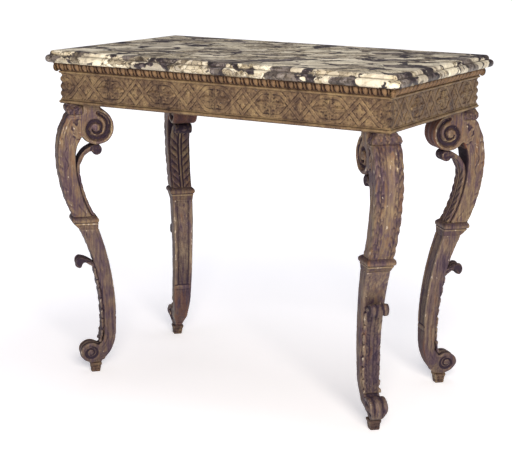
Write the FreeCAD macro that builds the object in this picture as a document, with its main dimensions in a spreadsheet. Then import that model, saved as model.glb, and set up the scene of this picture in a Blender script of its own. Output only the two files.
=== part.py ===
import FreeCAD, Part
import math
import os
import re

import Sketcher
from FreeCAD import Placement, Rotation, Vector

# Centre table: a loose moulded marble slab on a carved giltwood frame with four S-scroll legs.
# Origin on the floor under the middle of the table, X along the long side, -Y to the front, Z up.
# All lengths are in millimetres.
doc = FreeCAD.newDocument("centre_table")
sheet = doc.addObject("Spreadsheet::Sheet", "Sizes")

# Driving dimensions. A place named "in" is measured inwards from the frieze corner along the diagonal,
# and one named "out" is measured outwards.
SIZES = {
    "overall_height": 800,
    "frame_length": 850,
    "frame_width": 500,
    # marble slab: bullnose below, quarter round above, set back by the ledge
    "slab_overhang": 31.5,
    "slab_corner": 20,
    "bullnose_height": 17.5,
    "bullnose_round": 8.7,
    "ovolo_height": 10.5,
    "ovolo_round": 8.5,
    "ovolo_setback": 11,
    # frieze boards and the mouldings planted on them
    "rail_height": 97,
    "rail_thickness": 28,
    "egg_height": 20,
    "egg_reach": 16,
    "egg_lip": 4,
    "egg_toe": 4,
    "fillet_height": 6,
    "fillet_reach": 3,
    "bead_height": 10,
    "bead_reach": 3,
    # cross bearers under the slab
    "bearer_spacing": 300,
    "bearer_breadth": 60,
    "bearer_depth": 22,
    "housing_depth": 12,
    "housing_clearance": 0.2,
    # glue blocks in the corners and the screws that hold them
    "block_side": 58,
    "block_cut": 30,
    "block_height": 75,
    "screw_radius": 2.3,
    "screw_head_radius": 4.5,
    "screw_head_height": 3,
    "screw_hole_radius": 2.4,
    "screw_sink_radius": 5,
    "screw_wall": 20,
    "screw_bite": 16,
    "screw_inset": 40,
    "screw_height": 52,
    "screw_step": 13.5,
    # cap block on top of each leg
    "cap_height": 24,
    "cap_front_in": 6,
    "cap_back_in": 45,
    "cap_breadth": 71,
    "cap_lower_round": 9,
    "cap_upper_round": 6,
    # leg breadth, across the plane of the S
    "head_breadth": 66,
    "toe_breadth": 43,
    # upper half of the S, whose heights are counted down from the underside of the cap
    "shoulder_in": 12,
    "bulge_height": 95,
    "bulge_out": 14.5,
    "waist_height": 103,
    "waist_in": 28.5,
    "seat_end_in": 88,
    "volute_in": 79,
    "volute_height": 34,
    "volute_round": 40,
    "volute_crown_round": 48,
    "volute_root_drop": 19,
    # spiral channel sunk into both sides of the volute, its eye counted down from the cap too
    "channel_in": 77,
    "channel_height": 36,
    "channel_turn_one": 31,
    "channel_turn_two": 20.5,
    "channel_turn_three": 13.5,
    "channel_lift": 7,
    "channel_width": 8,
    "channel_depth": 9,
    # collar block between the two halves
    "collar_top": 403,
    "collar_height": 33,
    "collar_front_in": 16.5,
    "collar_back_in": 82,
    "collar_breadth": 68,
    "collar_slope": 10,
    "collar_slope_run": 6,
    "collar_ease": 6,
    "upper_front_in": 21,
    "upper_back_in": 65,
    "lower_front_in": 36.5,
    "lower_back_in": 81,
    # lower half of the S, whose foot stands a little nearer the end of the table than the diagonal would
    "foot_cant": 14,
    "ankle_height": 125,
    "ankle_in": 94,
    "ankle_straight": 25,
    "calf_height": 130,
    "calf_in": 123.5,
    "heel_height": 105,
    "sole_front_in": 62,
    "sole_back_in": 87,
    # foot scroll and its channel
    "scroll_in": 62,
    "scroll_height": 52,
    "scroll_round": 26,
    "groove_turn_one": 16,
    "groove_turn_two": 11,
    "groove_turn_three": 7,
    "groove_lift": 3,
    "groove_width": 4.5,
    "groove_depth": 5,
    # peg foot
    "foot_height": 24,
    "foot_in": 74.5,
    "foot_side": 26,
    "foot_taper": 4,
    # leaf on the inner side of the upper half, with its tip under the volute and its split below the cap
    "glue_gap": 0.1,
    "inner_leaf_breadth": 50,
    "inner_leaf_thickness": 7.5,
    "inner_leaf_split": 136,
    "inner_tip_in": 79.5,
    "inner_tip_round": 10,
    "inner_tip_gap": 0.5,
    "inner_tip_curl": 8,
    # leaf on the outer side of the lower half, with its tip standing out as a spur
    "outer_leaf_breadth": 40,
    "outer_leaf_thickness": 4,
    "spur_height": 284,
    "spur_root_drop": 26,
    "spur_top_in": 38,
    "spur_top_rise": 15,
    "spur_tip_in": 27,
    "spur_tip_rise": 4,
    "spur_end_in": 35,
    "spur_end_drop": 12,
    "spur_end_thickness": 5,
    "spur_inside_in": 46,
    "spur_inside_rise": 2,
    # dowels
    "dowel_radius": 6,
    "dowel_clearance": 0.1,
    "dowel_first_in": 58,
    "dowel_second_in": 78,
    "dowel_up": 60,
    "dowel_down": 55,
    "collar_dowel_radius": 8,
    "collar_dowel_length": 90,
    "collar_dowel_in": 50.7,
    "collar_dowel_tilt": 25,
    # room that a cut takes beyond the surface it starts from
    "cut_margin": 1,
}
for row, (alias, size) in enumerate(SIZES.items(), start=1):
    sheet.set(f"A{row}", alias)
    sheet.set(f"B{row}", str(size))
    sheet.setAlias(f"B{row}", alias)
doc.recompute()


# A formula is written in the plain words of the sheet, and tied() turns it into one that objects read.
def tied(formula):
    return re.sub(r"[a-z_]+", lambda word: f"Sizes.{word[0]}" if word[0] in SIZES else word[0], formula)


def size_of(formula):
    return float(sheet.evalExpression(formula))


def bind(thing, prop, formula):
    thing.setExpression(prop, tied(formula))


# Heights and lengths that follow from the driving ones
SLAB_BOTTOM = "(overall_height - bullnose_height - ovolo_height)"
RAIL_BOTTOM = f"({SLAB_BOTTOM} - rail_height)"
CAP_BOTTOM = f"({RAIL_BOTTOM} - cap_height)"
BULGE_LEVEL = f"({CAP_BOTTOM} - bulge_height)"
WAIST_LEVEL = f"({CAP_BOTTOM} - waist_height)"
VOLUTE_LEVEL = f"({CAP_BOTTOM} - volute_height)"
CHANNEL_LEVEL = f"({CAP_BOTTOM} - channel_height)"
SPLIT_LEVEL = f"({CAP_BOTTOM} - inner_leaf_split)"
COLLAR_BOTTOM = "(collar_top - collar_height)"
SLAB_LENGTH = "(frame_length + 2 * slab_overhang)"
SLAB_WIDTH = "(frame_width + 2 * slab_overhang)"


# Round stretch that leaves one point upright and ends at another
def upright_radius(rise, run):
    return f"((({rise})^2 + ({run})^2) / (2 * ({run})))"


def leg_breadth(height):
    share = f"((({height}) - foot_height) / ({CAP_BOTTOM} - foot_height))"
    return f"(toe_breadth + (head_breadth - toe_breadth) * {share})"


# Sideways place of the middle of the lower half, which cants from the collar down to the floor
def canted(height):
    return f"(foot_cant * ({COLLAR_BOTTOM} - ({height})) / {COLLAR_BOTTOM})"


def upright(height):
    return "0"


def origin_plane(body, role):
    return next(plane for plane in body.Origin.OriginFeatures if plane.Role == role)


def new_body(name):
    return doc.addObject("PartDesign::Body", name)


def arc_between(start, end, radius, turn):
    """The shorter arc from start to end, turning left or right, as counter-clockwise geometry"""
    first, last = (start, end) if turn == "left" else (end, start)
    chord = last - first
    height = math.sqrt(max(radius ** 2 - (chord.Length / 2) ** 2, 0))
    centre = (first + last) * 0.5 + Vector(-chord.y, chord.x, 0).normalize() * height
    angles = [math.atan2(p.y - centre.y, p.x - centre.x) for p in (first, last)]
    return Part.ArcOfCircle(Part.Circle(centre, Vector(0, 0, 1), radius), *angles)


def outline(body, name, role, *loops, offset=None):
    """A sketch of closed loops. A loop is a list of points (x, y), or (x, y, radius, turn) where the edge
    that arrives at the point is an arc. Every number is a formula, and every point is tied to it."""
    sketch = body.newObject("Sketcher::SketchObject", name)
    sketch.AttachmentSupport = [(origin_plane(body, role), "")]
    sketch.MapMode = "FlatFace"
    if offset:
        bind(sketch, "AttachmentOffset.Base.z", offset)
    for loop in loops:
        places = [Vector(size_of(point[0]), size_of(point[1]), 0) for point in loop]
        ends = []
        for index, point in enumerate(loop):
            start, end = places[index - 1], places[index]
            if len(point) == 2:
                edge = sketch.addGeometry(Part.LineSegment(start, end))
                ends.append((edge, 1, 2))
                continue
            radius, turn = point[2:]
            edge = sketch.addGeometry(arc_between(start, end, size_of(radius), turn))
            ends.append((edge, 1, 2) if turn == "left" else (edge, 2, 1))
            rule = sketch.addConstraint(Sketcher.Constraint("Radius", edge, size_of(radius)))
            bind(sketch, f"Constraints[{rule}]", radius)
        for index, point in enumerate(loop):
            edge, _, end = ends[index]
            following, start, _ = ends[(index + 1) % len(loop)]
            sketch.addConstraint(Sketcher.Constraint("Coincident", edge, end, following, start))
            for kind, formula in zip(("DistanceX", "DistanceY"), point[:2]):
                rule = sketch.addConstraint(Sketcher.Constraint(kind, -1, 1, edge, end, size_of(formula)))
                bind(sketch, f"Constraints[{rule}]", formula)
    return sketch


def pad(body, sketch, length, side="One side"):
    feature = body.newObject("PartDesign::Pad", f"{sketch.Name}_pad")
    feature.Profile = sketch
    feature.SideType = side
    bind(feature, "Length", length)
    return feature


def pocket_through(body, sketch, side="Symmetric", towards_normal=False):
    feature = body.newObject("PartDesign::Pocket", f"{sketch.Name}_pocket")
    feature.Profile = sketch
    feature.Type = "ThroughAll"
    feature.SideType = side
    feature.Reversed = towards_normal
    return feature


# Lengths smaller than this count as none
TOUCH = 1e-4


def level_edges(shape, height, beyond=-math.inf):
    """Names of the edges that lie flat at one height and reach past one place along X"""
    names = []
    for index, edge in enumerate(shape.Edges, start=1):
        box = edge.BoundBox
        if box.ZLength < TOUCH and abs(box.ZMin - height) < TOUCH and box.XMax > beyond + TOUCH:
            names.append(f"Edge{index}")
    return names


def fillet(body, base, edges, radius):
    feature = body.newObject("PartDesign::Fillet", f"{base.Name}_fillet")
    feature.Base = (base, edges)
    bind(feature, "Radius", radius)
    doc.recompute()
    return feature


def chamfer(body, base, edges, along, down):
    feature = body.newObject("PartDesign::Chamfer", f"{base.Name}_chamfer")
    feature.Base = (base, edges)
    feature.ChamferType = "Two distances"
    bind(feature, "Size", along)
    bind(feature, "Size2", down)
    doc.recompute()
    return feature


def cylinder(name, radius, height, x, y, z, direction=Vector(0, 0, 1)):
    rod = doc.addObject("Part::Cylinder", name)
    bind(rod, "Radius", radius)
    bind(rod, "Height", height)
    rod.Placement = Placement(Vector(), Rotation(Vector(0, 0, 1), direction))
    for axis, formula in zip("xyz", (x, y, z)):
        bind(rod, f"Placement.Base.{axis}", formula)
    return rod


def group(name, pieces):
    compound = doc.addObject("Part::Compound", name)
    compound.Links = pieces
    return compound


def drilled(name, blank, holes):
    cut = doc.addObject("Part::Cut", name)
    cut.Base = blank
    cut.Tool = group(f"{name}_holes", holes)
    return cut


def mirrored(name, source, normal):
    copy = doc.addObject("Part::Mirroring", name)
    copy.Source = source
    copy.Normal = normal
    return copy


ACROSS, ALONG = Vector(1, 0, 0), Vector(0, 1, 0)
sub_parts = []


def hand_in(*pieces):
    sub_parts.extend(pieces)


def four_corners(name, piece):
    """The front right piece and its three mirror images"""
    piece.Label = f"{name}_front_right"
    front_left = mirrored(f"{name}_front_left", piece, ACROSS)
    back_right = mirrored(f"{name}_back_right", piece, ALONG)
    back_left = mirrored(f"{name}_back_left", front_left, ALONG)
    return [piece, front_left, back_right, back_left]


# Marble slab: bullnose edge with a smaller quarter-round step on top
def rounded_rectangle(length, width, corner):
    x, y = f"({length}) / 2", f"({width}) / 2"
    near_x, near_y = f"({x} - ({corner}))", f"({y} - ({corner}))"
    return [
        (near_x, f"-({y})"),
        (x, f"-{near_y}", corner, "left"), (x, near_y),
        (near_x, y, corner, "left"), (f"-{near_x}", y),
        (f"-({x})", near_y, corner, "left"), (f"-({x})", f"-{near_y}"),
        (f"-{near_x}", f"-({y})", corner, "left"),
    ]


slab = new_body("marble_top")
bullnose = outline(slab, "bullnose", "XY_Plane",
                   rounded_rectangle(SLAB_LENGTH, SLAB_WIDTH, "slab_corner"), offset=SLAB_BOTTOM)
bullnose_pad = pad(slab, bullnose, "bullnose_height")
doc.recompute()
bullnose_top = f"({SLAB_BOTTOM} + bullnose_height)"
nose_edges = [name for level in (SLAB_BOTTOM, bullnose_top)
              for name in level_edges(bullnose_pad.Shape, size_of(level))]
fillet(slab, bullnose_pad, nose_edges, "bullnose_round")
ovolo = outline(slab, "ovolo", "XY_Plane",
                rounded_rectangle(f"{SLAB_LENGTH} - 2 * ovolo_setback", f"{SLAB_WIDTH} - 2 * ovolo_setback",
                                  "(slab_corner - ovolo_setback)"),
                offset=bullnose_top)
ovolo_pad = pad(slab, ovolo, "ovolo_height")
doc.recompute()
fillet(slab, ovolo_pad, level_edges(ovolo_pad.Shape, size_of("overall_height")), "ovolo_round")
hand_in(slab)


# Frieze: each side is drawn with its outer face on the local X axis and its outside towards -Y,
# and then set against the front or turned to the right-hand side.
def set_on_side(piece, side):
    if side == "front":
        bind(piece, "Placement.Base.y", "-frame_width / 2")
        return
    piece.Placement = Placement(Vector(), Rotation(Vector(0, 0, 1), 90))
    bind(piece, "Placement.Base.x", "frame_length / 2")


def rail_blank(side, length):
    body = new_body(f"{side}_rail_blank")
    end, inner = f"({length} / 2)", f"({length} / 2 - rail_thickness)"
    plan = outline(body, f"{side}_rail_plan", "XY_Plane",
                   [(f"-{end}", "0"), (end, "0"), (inner, "rail_thickness"), (f"-{inner}", "rail_thickness")],
                   offset=RAIL_BOTTOM)
    pad(body, plan, "rail_height")
    return body


def screw_places(length):
    """Screws at both ends of a rail, through the wall left at the bottom of each sunk hole"""
    reach = f"({length} / 2 - rail_thickness - screw_inset)"
    return [f"-{reach}", reach]


SCREW_LEVELS = {
    "front": f"{RAIL_BOTTOM} + screw_height",
    "right": f"{RAIL_BOTTOM} + screw_height - screw_step",
}


def rail_screw_holes(side, length):
    depth = "(screw_bite + housing_clearance)"
    return [cylinder(f"{side}_rail_screw_hole_{index}", "screw_hole_radius", depth,
                     x, f"rail_thickness - {depth}", SCREW_LEVELS[side], Vector(0, 1, 0))
            for index, x in enumerate(screw_places(length))]


def cut_housings(body):
    """Open notches in the top inner edge of a long rail, for the ends of the cross bearers"""
    half = "(bearer_breadth / 2 + housing_clearance)"
    back, front = "(rail_thickness + cut_margin)", "(rail_thickness - housing_depth)"
    loops = []
    for middle in ("-bearer_spacing / 2", "bearer_spacing / 2"):
        left, right = f"({middle} - {half})", f"({middle} + {half})"
        loops.append([(left, front), (right, front), (right, back), (left, back)])
    sketch = outline(body, "housings", "XY_Plane", *loops, offset=f"{SLAB_BOTTOM} - bearer_depth")
    pocket_through(body, sketch, side="One side", towards_normal=True)


def moulding(side, name, length, reach, profile):
    """A planted strip, run to length and mitred at both ends"""
    body = new_body(f"{side}_{name}")
    strip = outline(body, f"{side}_{name}_profile", "YZ_Plane", profile)
    pad(body, strip, f"{length} + 2 * {reach}", side="Symmetric")
    end = f"{length} / 2"
    wedges = []
    for sign in ("", "-"):
        tip = f"{sign}({end} - cut_margin)"
        far = f"{sign}({end} + {reach} + cut_margin)"
        wedges.append([(tip, "cut_margin"), (far, f"-({reach} + cut_margin)"), (far, "cut_margin")])
    mitres = outline(body, f"{side}_{name}_mitres", "XY_Plane", *wedges)
    pocket_through(body, mitres)
    set_on_side(body, side)
    return body


EGG_BOTTOM = f"({SLAB_BOTTOM} - egg_height)"
EGG_PROFILE = [
    ("0", f"{EGG_BOTTOM} - fillet_height"), ("-fillet_reach", f"{EGG_BOTTOM} - fillet_height"),
    ("-fillet_reach", EGG_BOTTOM), ("-egg_toe", EGG_BOTTOM),
    ("-egg_reach", f"{SLAB_BOTTOM} - egg_lip", "egg_height - egg_lip", "right"),
    ("-egg_reach", SLAB_BOTTOM), ("0", SLAB_BOTTOM),
]
BEAD_PROFILE = [
    ("0", RAIL_BOTTOM), ("-bead_reach", RAIL_BOTTOM),
    ("-bead_reach", f"{RAIL_BOTTOM} + bead_height"), ("0", f"{RAIL_BOTTOM} + bead_height"),
]
for side, length, opposite, normal in (("front", "frame_length", "back", ALONG),
                                       ("right", "frame_width", "left", ACROSS)):
    blank = rail_blank(side, length)
    if side == "front":
        cut_housings(blank)
    rail = drilled(f"{side}_rail", blank, rail_screw_holes(side, length))
    set_on_side(rail, side)
    egg = moulding(side, "egg_moulding", length, "egg_reach", EGG_PROFILE)
    bead = moulding(side, "lower_moulding", length, "bead_reach", BEAD_PROFILE)
    for name, piece in (("rail", rail), ("egg_moulding", egg), ("lower_moulding", bead)):
        hand_in(piece, mirrored(f"{opposite}_{name}", piece, normal))

# Cross bearers, let into the long rails and flush with their top edges
bearer = new_body("bearer_right")
half_length = "(frame_width / 2 - rail_thickness + housing_depth - housing_clearance)"
half_breadth = "(bearer_breadth / 2)"
bearer_plan = outline(bearer, "bearer_plan", "XY_Plane",
                      [(f"bearer_spacing / 2 - {half_breadth}", f"-{half_length}"),
                       (f"bearer_spacing / 2 + {half_breadth}", f"-{half_length}"),
                       (f"bearer_spacing / 2 + {half_breadth}", half_length),
                       (f"bearer_spacing / 2 - {half_breadth}", half_length)],
                      offset=f"{SLAB_BOTTOM} - bearer_depth")
pad(bearer, bearer_plan, "bearer_depth")
hand_in(bearer, mirrored("bearer_left", bearer, ACROSS))

# Corner glue block inside the front right corner, drilled for two dowels and two sunk screws.
# It is drawn from the inner corner of the rails, with X and Y running inwards along them.
DIAGONAL = "(1 / sqrt(2))"
block = new_body("corner_block_blank")
block_plan = outline(block, "block_plan", "XY_Plane",
                     [("0", "0"), ("-block_side", "0"), ("-block_side", "block_side - block_cut"),
                      ("-(block_side - block_cut)", "block_side"), ("0", "block_side")],
                     offset=RAIL_BOTTOM)
pad(block, block_plan, "block_height")


def block_dowel_hole(index, place):
    step = f"({place} * {DIAGONAL} - rail_thickness)"
    return cylinder(f"block_dowel_hole_{index}", "dowel_radius + dowel_clearance",
                    "dowel_up + dowel_clearance", f"-{step}", step, RAIL_BOTTOM)


def screw_pair(name, radius, start, length):
    """Rods along the two screw lines of the block, one into each rail"""
    into_front = cylinder(f"{name}_front", radius, length, "-screw_inset", start,
                          SCREW_LEVELS["front"], Vector(0, 1, 0))
    into_right = cylinder(f"{name}_right", radius, length, f"-({start})", "screw_inset",
                          SCREW_LEVELS["right"], Vector(-1, 0, 0))
    return [into_front, into_right]


DOWEL_PLACES = ("dowel_first_in", "dowel_second_in")
block_holes = [block_dowel_hole(index, place) for index, place in enumerate(DOWEL_PLACES)]
block_holes += screw_pair("block_screw_hole", "screw_hole_radius", "0", "block_side")
block_holes += screw_pair("block_screw_sink", "screw_sink_radius", "screw_wall", "block_side")
corner_block = drilled("corner_block_front_right", block, block_holes)


def set_in_corner(piece):
    bind(piece, "Placement.Base.x", "frame_length / 2 - rail_thickness")
    bind(piece, "Placement.Base.y", "-frame_width / 2 + rail_thickness")


set_in_corner(corner_block)
hand_in(*four_corners("corner_block", corner_block))

shanks = screw_pair("screw_shank", "screw_radius", "-screw_bite", "screw_bite + screw_wall")
heads = screw_pair("screw_head", "screw_head_radius", "screw_wall", "screw_head_height")
screws = []
for index, (shank, head) in enumerate(zip(shanks, heads)):
    screw = doc.addObject("Part::Fuse", f"screw_{index}")
    screw.Base, screw.Tool = shank, head
    screws.append(screw)
corner_pair = group("corner_screw_pair", screws)
set_in_corner(corner_pair)
hand_in(group("corner_screws", four_corners("corner_screw_pair", corner_pair)))


# Legs: each piece is drawn in the plane of the S, with X outwards from the frieze corner and Z up,
# and then turned to the diagonal of the front right corner.
def set_on_diagonal(piece):
    piece.Placement = Placement(Vector(), Rotation(Vector(0, 0, 1), -45))
    bind(piece, "Placement.Base.x", "frame_length / 2")
    bind(piece, "Placement.Base.y", "-frame_width / 2")
    return piece


def shape_flanks(body, side_view, bottom, top, breadth, lean):
    """Extrude a side view, then plane both flanks to the breadth and lean wanted at each height"""
    under, over = f"({bottom} - cut_margin)", f"({top} + cut_margin)"
    wide = f"({breadth(over)} / 2 + foot_cant + 2 * cut_margin)"
    pad(body, side_view, f"2 * ({wide} - cut_margin)", side="Symmetric")
    loops = []
    for sign in "+-":
        low = f"{lean(under)} {sign} {breadth(under)} / 2"
        high = f"{lean(over)} {sign} {breadth(over)} / 2"
        loops.append([(low, under), (high, over), (f"{sign}{wide}", over), (f"{sign}{wide}", under)])
    return pocket_through(body, outline(body, f"{side_view.Name}_flanks", "YZ_Plane", *loops))


def sink_spiral(body, name, eye_in, eye_height, turns, lift, width, depth, lean):
    """A spiral channel of three half turns, sunk into both flanks"""
    middles = [f"({eye_height} + {lift})"]
    for index in range(1, len(turns)):
        sign = "-" if index % 2 else "+"
        middles.append(f"({middles[-1]} {sign} ({turns[index - 1]} - {turns[index]}))")
    loop = []
    for edge, order, turn in (("+", 1, "left"), ("-", -1, "right")):
        quarters = []
        for index, (middle, radius) in enumerate(zip(middles, turns)):
            reach = f"({radius} {edge} {width} / 2)"
            start, side, finish = ("+", "-", "-") if index % 2 == 0 else ("-", "+", "+")
            ends = [(f"-{eye_in}", f"{middle} {start} {reach}"),
                    (f"-{eye_in} {side} {reach}", middle),
                    (f"-{eye_in}", f"{middle} {finish} {reach}")]
            quarters.append((reach, ends))
        for index, (reach, ends) in enumerate(quarters[::order]):
            ordered = ends[::order]
            if index == 0:
                loop.append(ordered[0])
            loop += [(*point, reach, turn) for point in ordered[1:]]
    for flank, sign, outwards in (("front", "", True), ("back", "-", False)):
        floor = f"{sign}({leg_breadth(eye_height)} / 2 - {depth}) - {lean(eye_height)}"
        spiral = outline(body, f"{name}_{flank}", "XZ_Plane", loop, offset=floor)
        pocket_through(body, spiral, side="One side", towards_normal=outwards)


# Cap block, rounded on its three outer sides
cap = new_body("leg_cap_front_right")
cap_plan = outline(cap, "cap_plan", "XY_Plane",
                   [("-cap_back_in", "-cap_breadth / 2"), ("-cap_front_in", "-cap_breadth / 2"),
                    ("-cap_front_in", "cap_breadth / 2"), ("-cap_back_in", "cap_breadth / 2")],
                   offset=CAP_BOTTOM)
cap_pad = pad(cap, cap_plan, "cap_height")
doc.recompute()
cap_round = cap_pad
for level, radius in ((CAP_BOTTOM, "cap_lower_round"), (RAIL_BOTTOM, "cap_upper_round")):
    outer = level_edges(cap_round.Shape, size_of(level), beyond=-size_of("cap_back_in"))
    cap_round = fillet(cap, cap_round, outer, radius)
hand_in(*four_corners("leg_cap", set_on_diagonal(cap)))

# Upper half of the S, from the collar to the volute and the seat under the frieze
VOLUTE_ROOT = "(-volute_in + sqrt(volute_round^2 - volute_root_drop^2))"
CROWN_MIDDLE = "(-volute_in - volute_round + volute_crown_round)"
SEAT_FOOT = f"({VOLUTE_LEVEL} + sqrt(volute_crown_round^2 - ({CROWN_MIDDLE} + seat_end_in)^2))"
WAIST_ROUND = upright_radius(f"{WAIST_LEVEL} - collar_top", "upper_back_in - waist_in")
ROOT_LEVEL = f"({VOLUTE_LEVEL} - volute_root_drop)"
upper = new_body("upper_leg_blank")
upper_side = outline(upper, "upper_leg_side", "XZ_Plane", [
    ("-cap_back_in", RAIL_BOTTOM),
    ("-cap_back_in", CAP_BOTTOM),
    ("-shoulder_in", CAP_BOTTOM),
    ("bulge_out", BULGE_LEVEL,
     upright_radius("bulge_height", "bulge_out + shoulder_in"), "right"),
    ("-upper_front_in", "collar_top",
     upright_radius(f"{BULGE_LEVEL} - collar_top", "bulge_out + upper_front_in"), "right"),
    ("-upper_back_in", "collar_top"),
    ("-waist_in", WAIST_LEVEL, WAIST_ROUND, "left"),
    (VOLUTE_ROOT, ROOT_LEVEL,
     upright_radius(f"{ROOT_LEVEL} - {WAIST_LEVEL}", f"-waist_in - {VOLUTE_ROOT}"), "left"),
    ("-volute_in - volute_round", VOLUTE_LEVEL, "volute_round", "right"),
    ("-seat_end_in", SEAT_FOOT, "volute_crown_round", "right"),
    ("-seat_end_in", RAIL_BOTTOM),
])
shape_flanks(upper, upper_side, "collar_top", RAIL_BOTTOM, leg_breadth, upright)
sink_spiral(upper, "volute_channel", "channel_in", CHANNEL_LEVEL,
            ("channel_turn_one", "channel_turn_two", "channel_turn_three"),
            "channel_lift", "channel_width", "channel_depth", upright)


# Dowels from the corner block into the head of the leg, and a slanted one through the collar
def leg_dowels(name, radius, slack):
    return [cylinder(f"{name}_{index}", radius, f"dowel_up + dowel_down + 2 * {slack}",
                     f"-{place}", "0", f"{RAIL_BOTTOM} - dowel_down - {slack}")
            for index, place in enumerate(DOWEL_PLACES)]


def collar_dowel(name, radius, slack):
    half, tilt = f"(collar_dowel_length / 2 + {slack})", "(collar_dowel_tilt * 1 deg)"
    rod = cylinder(name, radius, f"2 * {half}", f"-collar_dowel_in - {half} * sin{tilt}", "0",
                   f"collar_top - collar_height / 2 - {half} * cos{tilt}")
    rod.Placement.Rotation = Rotation(ALONG, size_of("collar_dowel_tilt"))
    bind(rod, "Placement.Rotation.Angle", tilt)
    return rod


head_holes = leg_dowels("head_hole", "dowel_radius + dowel_clearance", "dowel_clearance")
joint_hole = collar_dowel("joint_hole", "collar_dowel_radius + dowel_clearance", "dowel_clearance")
upper_leg = drilled("upper_leg_front_right", upper, head_holes + [joint_hole])
hand_in(*four_corners("upper_leg", set_on_diagonal(upper_leg)))

# Collar block, with a sloping top edge and a rounded lower one
collar = new_body("leg_collar_blank")
collar_plan = outline(collar, "collar_plan", "XY_Plane",
                      [("-collar_back_in", "-collar_breadth / 2"),
                       ("-collar_front_in", "-collar_breadth / 2"),
                       ("-collar_front_in", "collar_breadth / 2"),
                       ("-collar_back_in", "collar_breadth / 2")],
                      offset=COLLAR_BOTTOM)
collar_pad = pad(collar, collar_plan, "collar_height")
doc.recompute()
collar_slope = chamfer(collar, collar_pad, level_edges(collar_pad.Shape, size_of("collar_top")),
                       "collar_slope_run", "collar_slope")
fillet(collar, collar_slope, level_edges(collar_slope.Shape, size_of(COLLAR_BOTTOM)), "collar_ease")
leg_collar = drilled("leg_collar_front_right", collar, [joint_hole])
hand_in(*four_corners("leg_collar", set_on_diagonal(leg_collar)))

# Lower half of the S, from the collar to the foot scroll and the sole
ANKLE_ROUND = upright_radius(f"{COLLAR_BOTTOM} - ankle_height", "ankle_in - lower_front_in")
CALF_ROUND = upright_radius(f"{COLLAR_BOTTOM} - calf_height", "calf_in - lower_back_in")
SCROLL_ROOT_IN = f"(scroll_in + scroll_round * {DIAGONAL})"
SCROLL_ROOT_HEIGHT = f"(scroll_height + scroll_round * {DIAGONAL})"
STEM_FOOT = "(ankle_height - ankle_straight)"
lower = new_body("lower_leg_blank")
lower_side = outline(lower, "lower_leg_side", "XZ_Plane", [
    ("-lower_front_in", COLLAR_BOTTOM),
    ("-ankle_in", "ankle_height", ANKLE_ROUND, "left"),
    ("-ankle_in", STEM_FOOT),
    (f"-{SCROLL_ROOT_IN}", SCROLL_ROOT_HEIGHT,
     upright_radius(f"{STEM_FOOT} - {SCROLL_ROOT_HEIGHT}", f"ankle_in - {SCROLL_ROOT_IN}"), "left"),
    ("-scroll_in", "scroll_height + scroll_round", "scroll_round", "right"),
    ("-scroll_in + scroll_round", "scroll_height", "scroll_round", "right"),
    ("-scroll_in", "scroll_height - scroll_round", "scroll_round", "right"),
    ("-sole_front_in", "foot_height"),
    ("-sole_back_in", "foot_height"),
    ("-calf_in", "heel_height",
     upright_radius("heel_height - foot_height", "calf_in - sole_back_in"), "right"),
    ("-calf_in", "calf_height"),
    ("-lower_back_in", COLLAR_BOTTOM, CALF_ROUND, "right"),
])
shape_flanks(lower, lower_side, "foot_height", COLLAR_BOTTOM, leg_breadth, canted)
sink_spiral(lower, "scroll_groove", "scroll_in", "scroll_height",
            ("groove_turn_one", "groove_turn_two", "groove_turn_three"),
            "groove_lift", "groove_width", "groove_depth", canted)
lower_leg = drilled("lower_leg_front_right", lower, [joint_hole])
hand_in(*four_corners("lower_leg", set_on_diagonal(lower_leg)))

# Peg foot, narrowing to the floor
foot = new_body("foot_front_right")


def foot_square(name, side, height):
    half = f"(({side}) / 2)"
    near, far = f"-foot_in + {half}", f"-foot_in - {half}"
    left, right = f"{canted(height)} - {half}", f"{canted(height)} + {half}"
    return outline(foot, name, "XY_Plane", [(far, left), (near, left), (near, right), (far, right)],
                   offset=height)


foot_loft = foot.newObject("PartDesign::AdditiveLoft", "foot_loft")
foot_loft.Profile = foot_square("foot_toe", "foot_side - foot_taper", "0")
foot_loft.Sections = [foot_square("foot_head", "foot_side", "foot_height")]
foot_loft.Ruled = True
hand_in(*four_corners("foot", set_on_diagonal(foot)))


# Leaf glued to the inner face of the upper half: it follows the stem up to the split, then its tip curls
# away under the volute.
def on_arc(middle, sign, radius, level, height):
    """Place on a round stretch at one height, beside its middle"""
    return f"({middle} {sign} sqrt(({radius})^2 - (({height}) - ({level}))^2))"


WAIST_MIDDLE = f"(-waist_in - {WAIST_ROUND})"
LEAF_BACK = f"({WAIST_ROUND} - glue_gap)"
LEAF_FACE = f"({LEAF_BACK} - inner_leaf_thickness)"
TIP_TOP = f"({VOLUTE_LEVEL} - volute_round - inner_tip_gap)"
TIP_MIDDLE = f"({TIP_TOP} - inner_tip_round)"
CURL_LEVEL = f"({TIP_MIDDLE} - inner_tip_round + inner_tip_curl)"


def inner_leaf_place(radius, height):
    return on_arc(WAIST_MIDDLE, "+", radius, WAIST_LEVEL, height)


split_back = inner_leaf_place(LEAF_BACK, SPLIT_LEVEL)
split_face = inner_leaf_place(LEAF_FACE, SPLIT_LEVEL)
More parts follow.
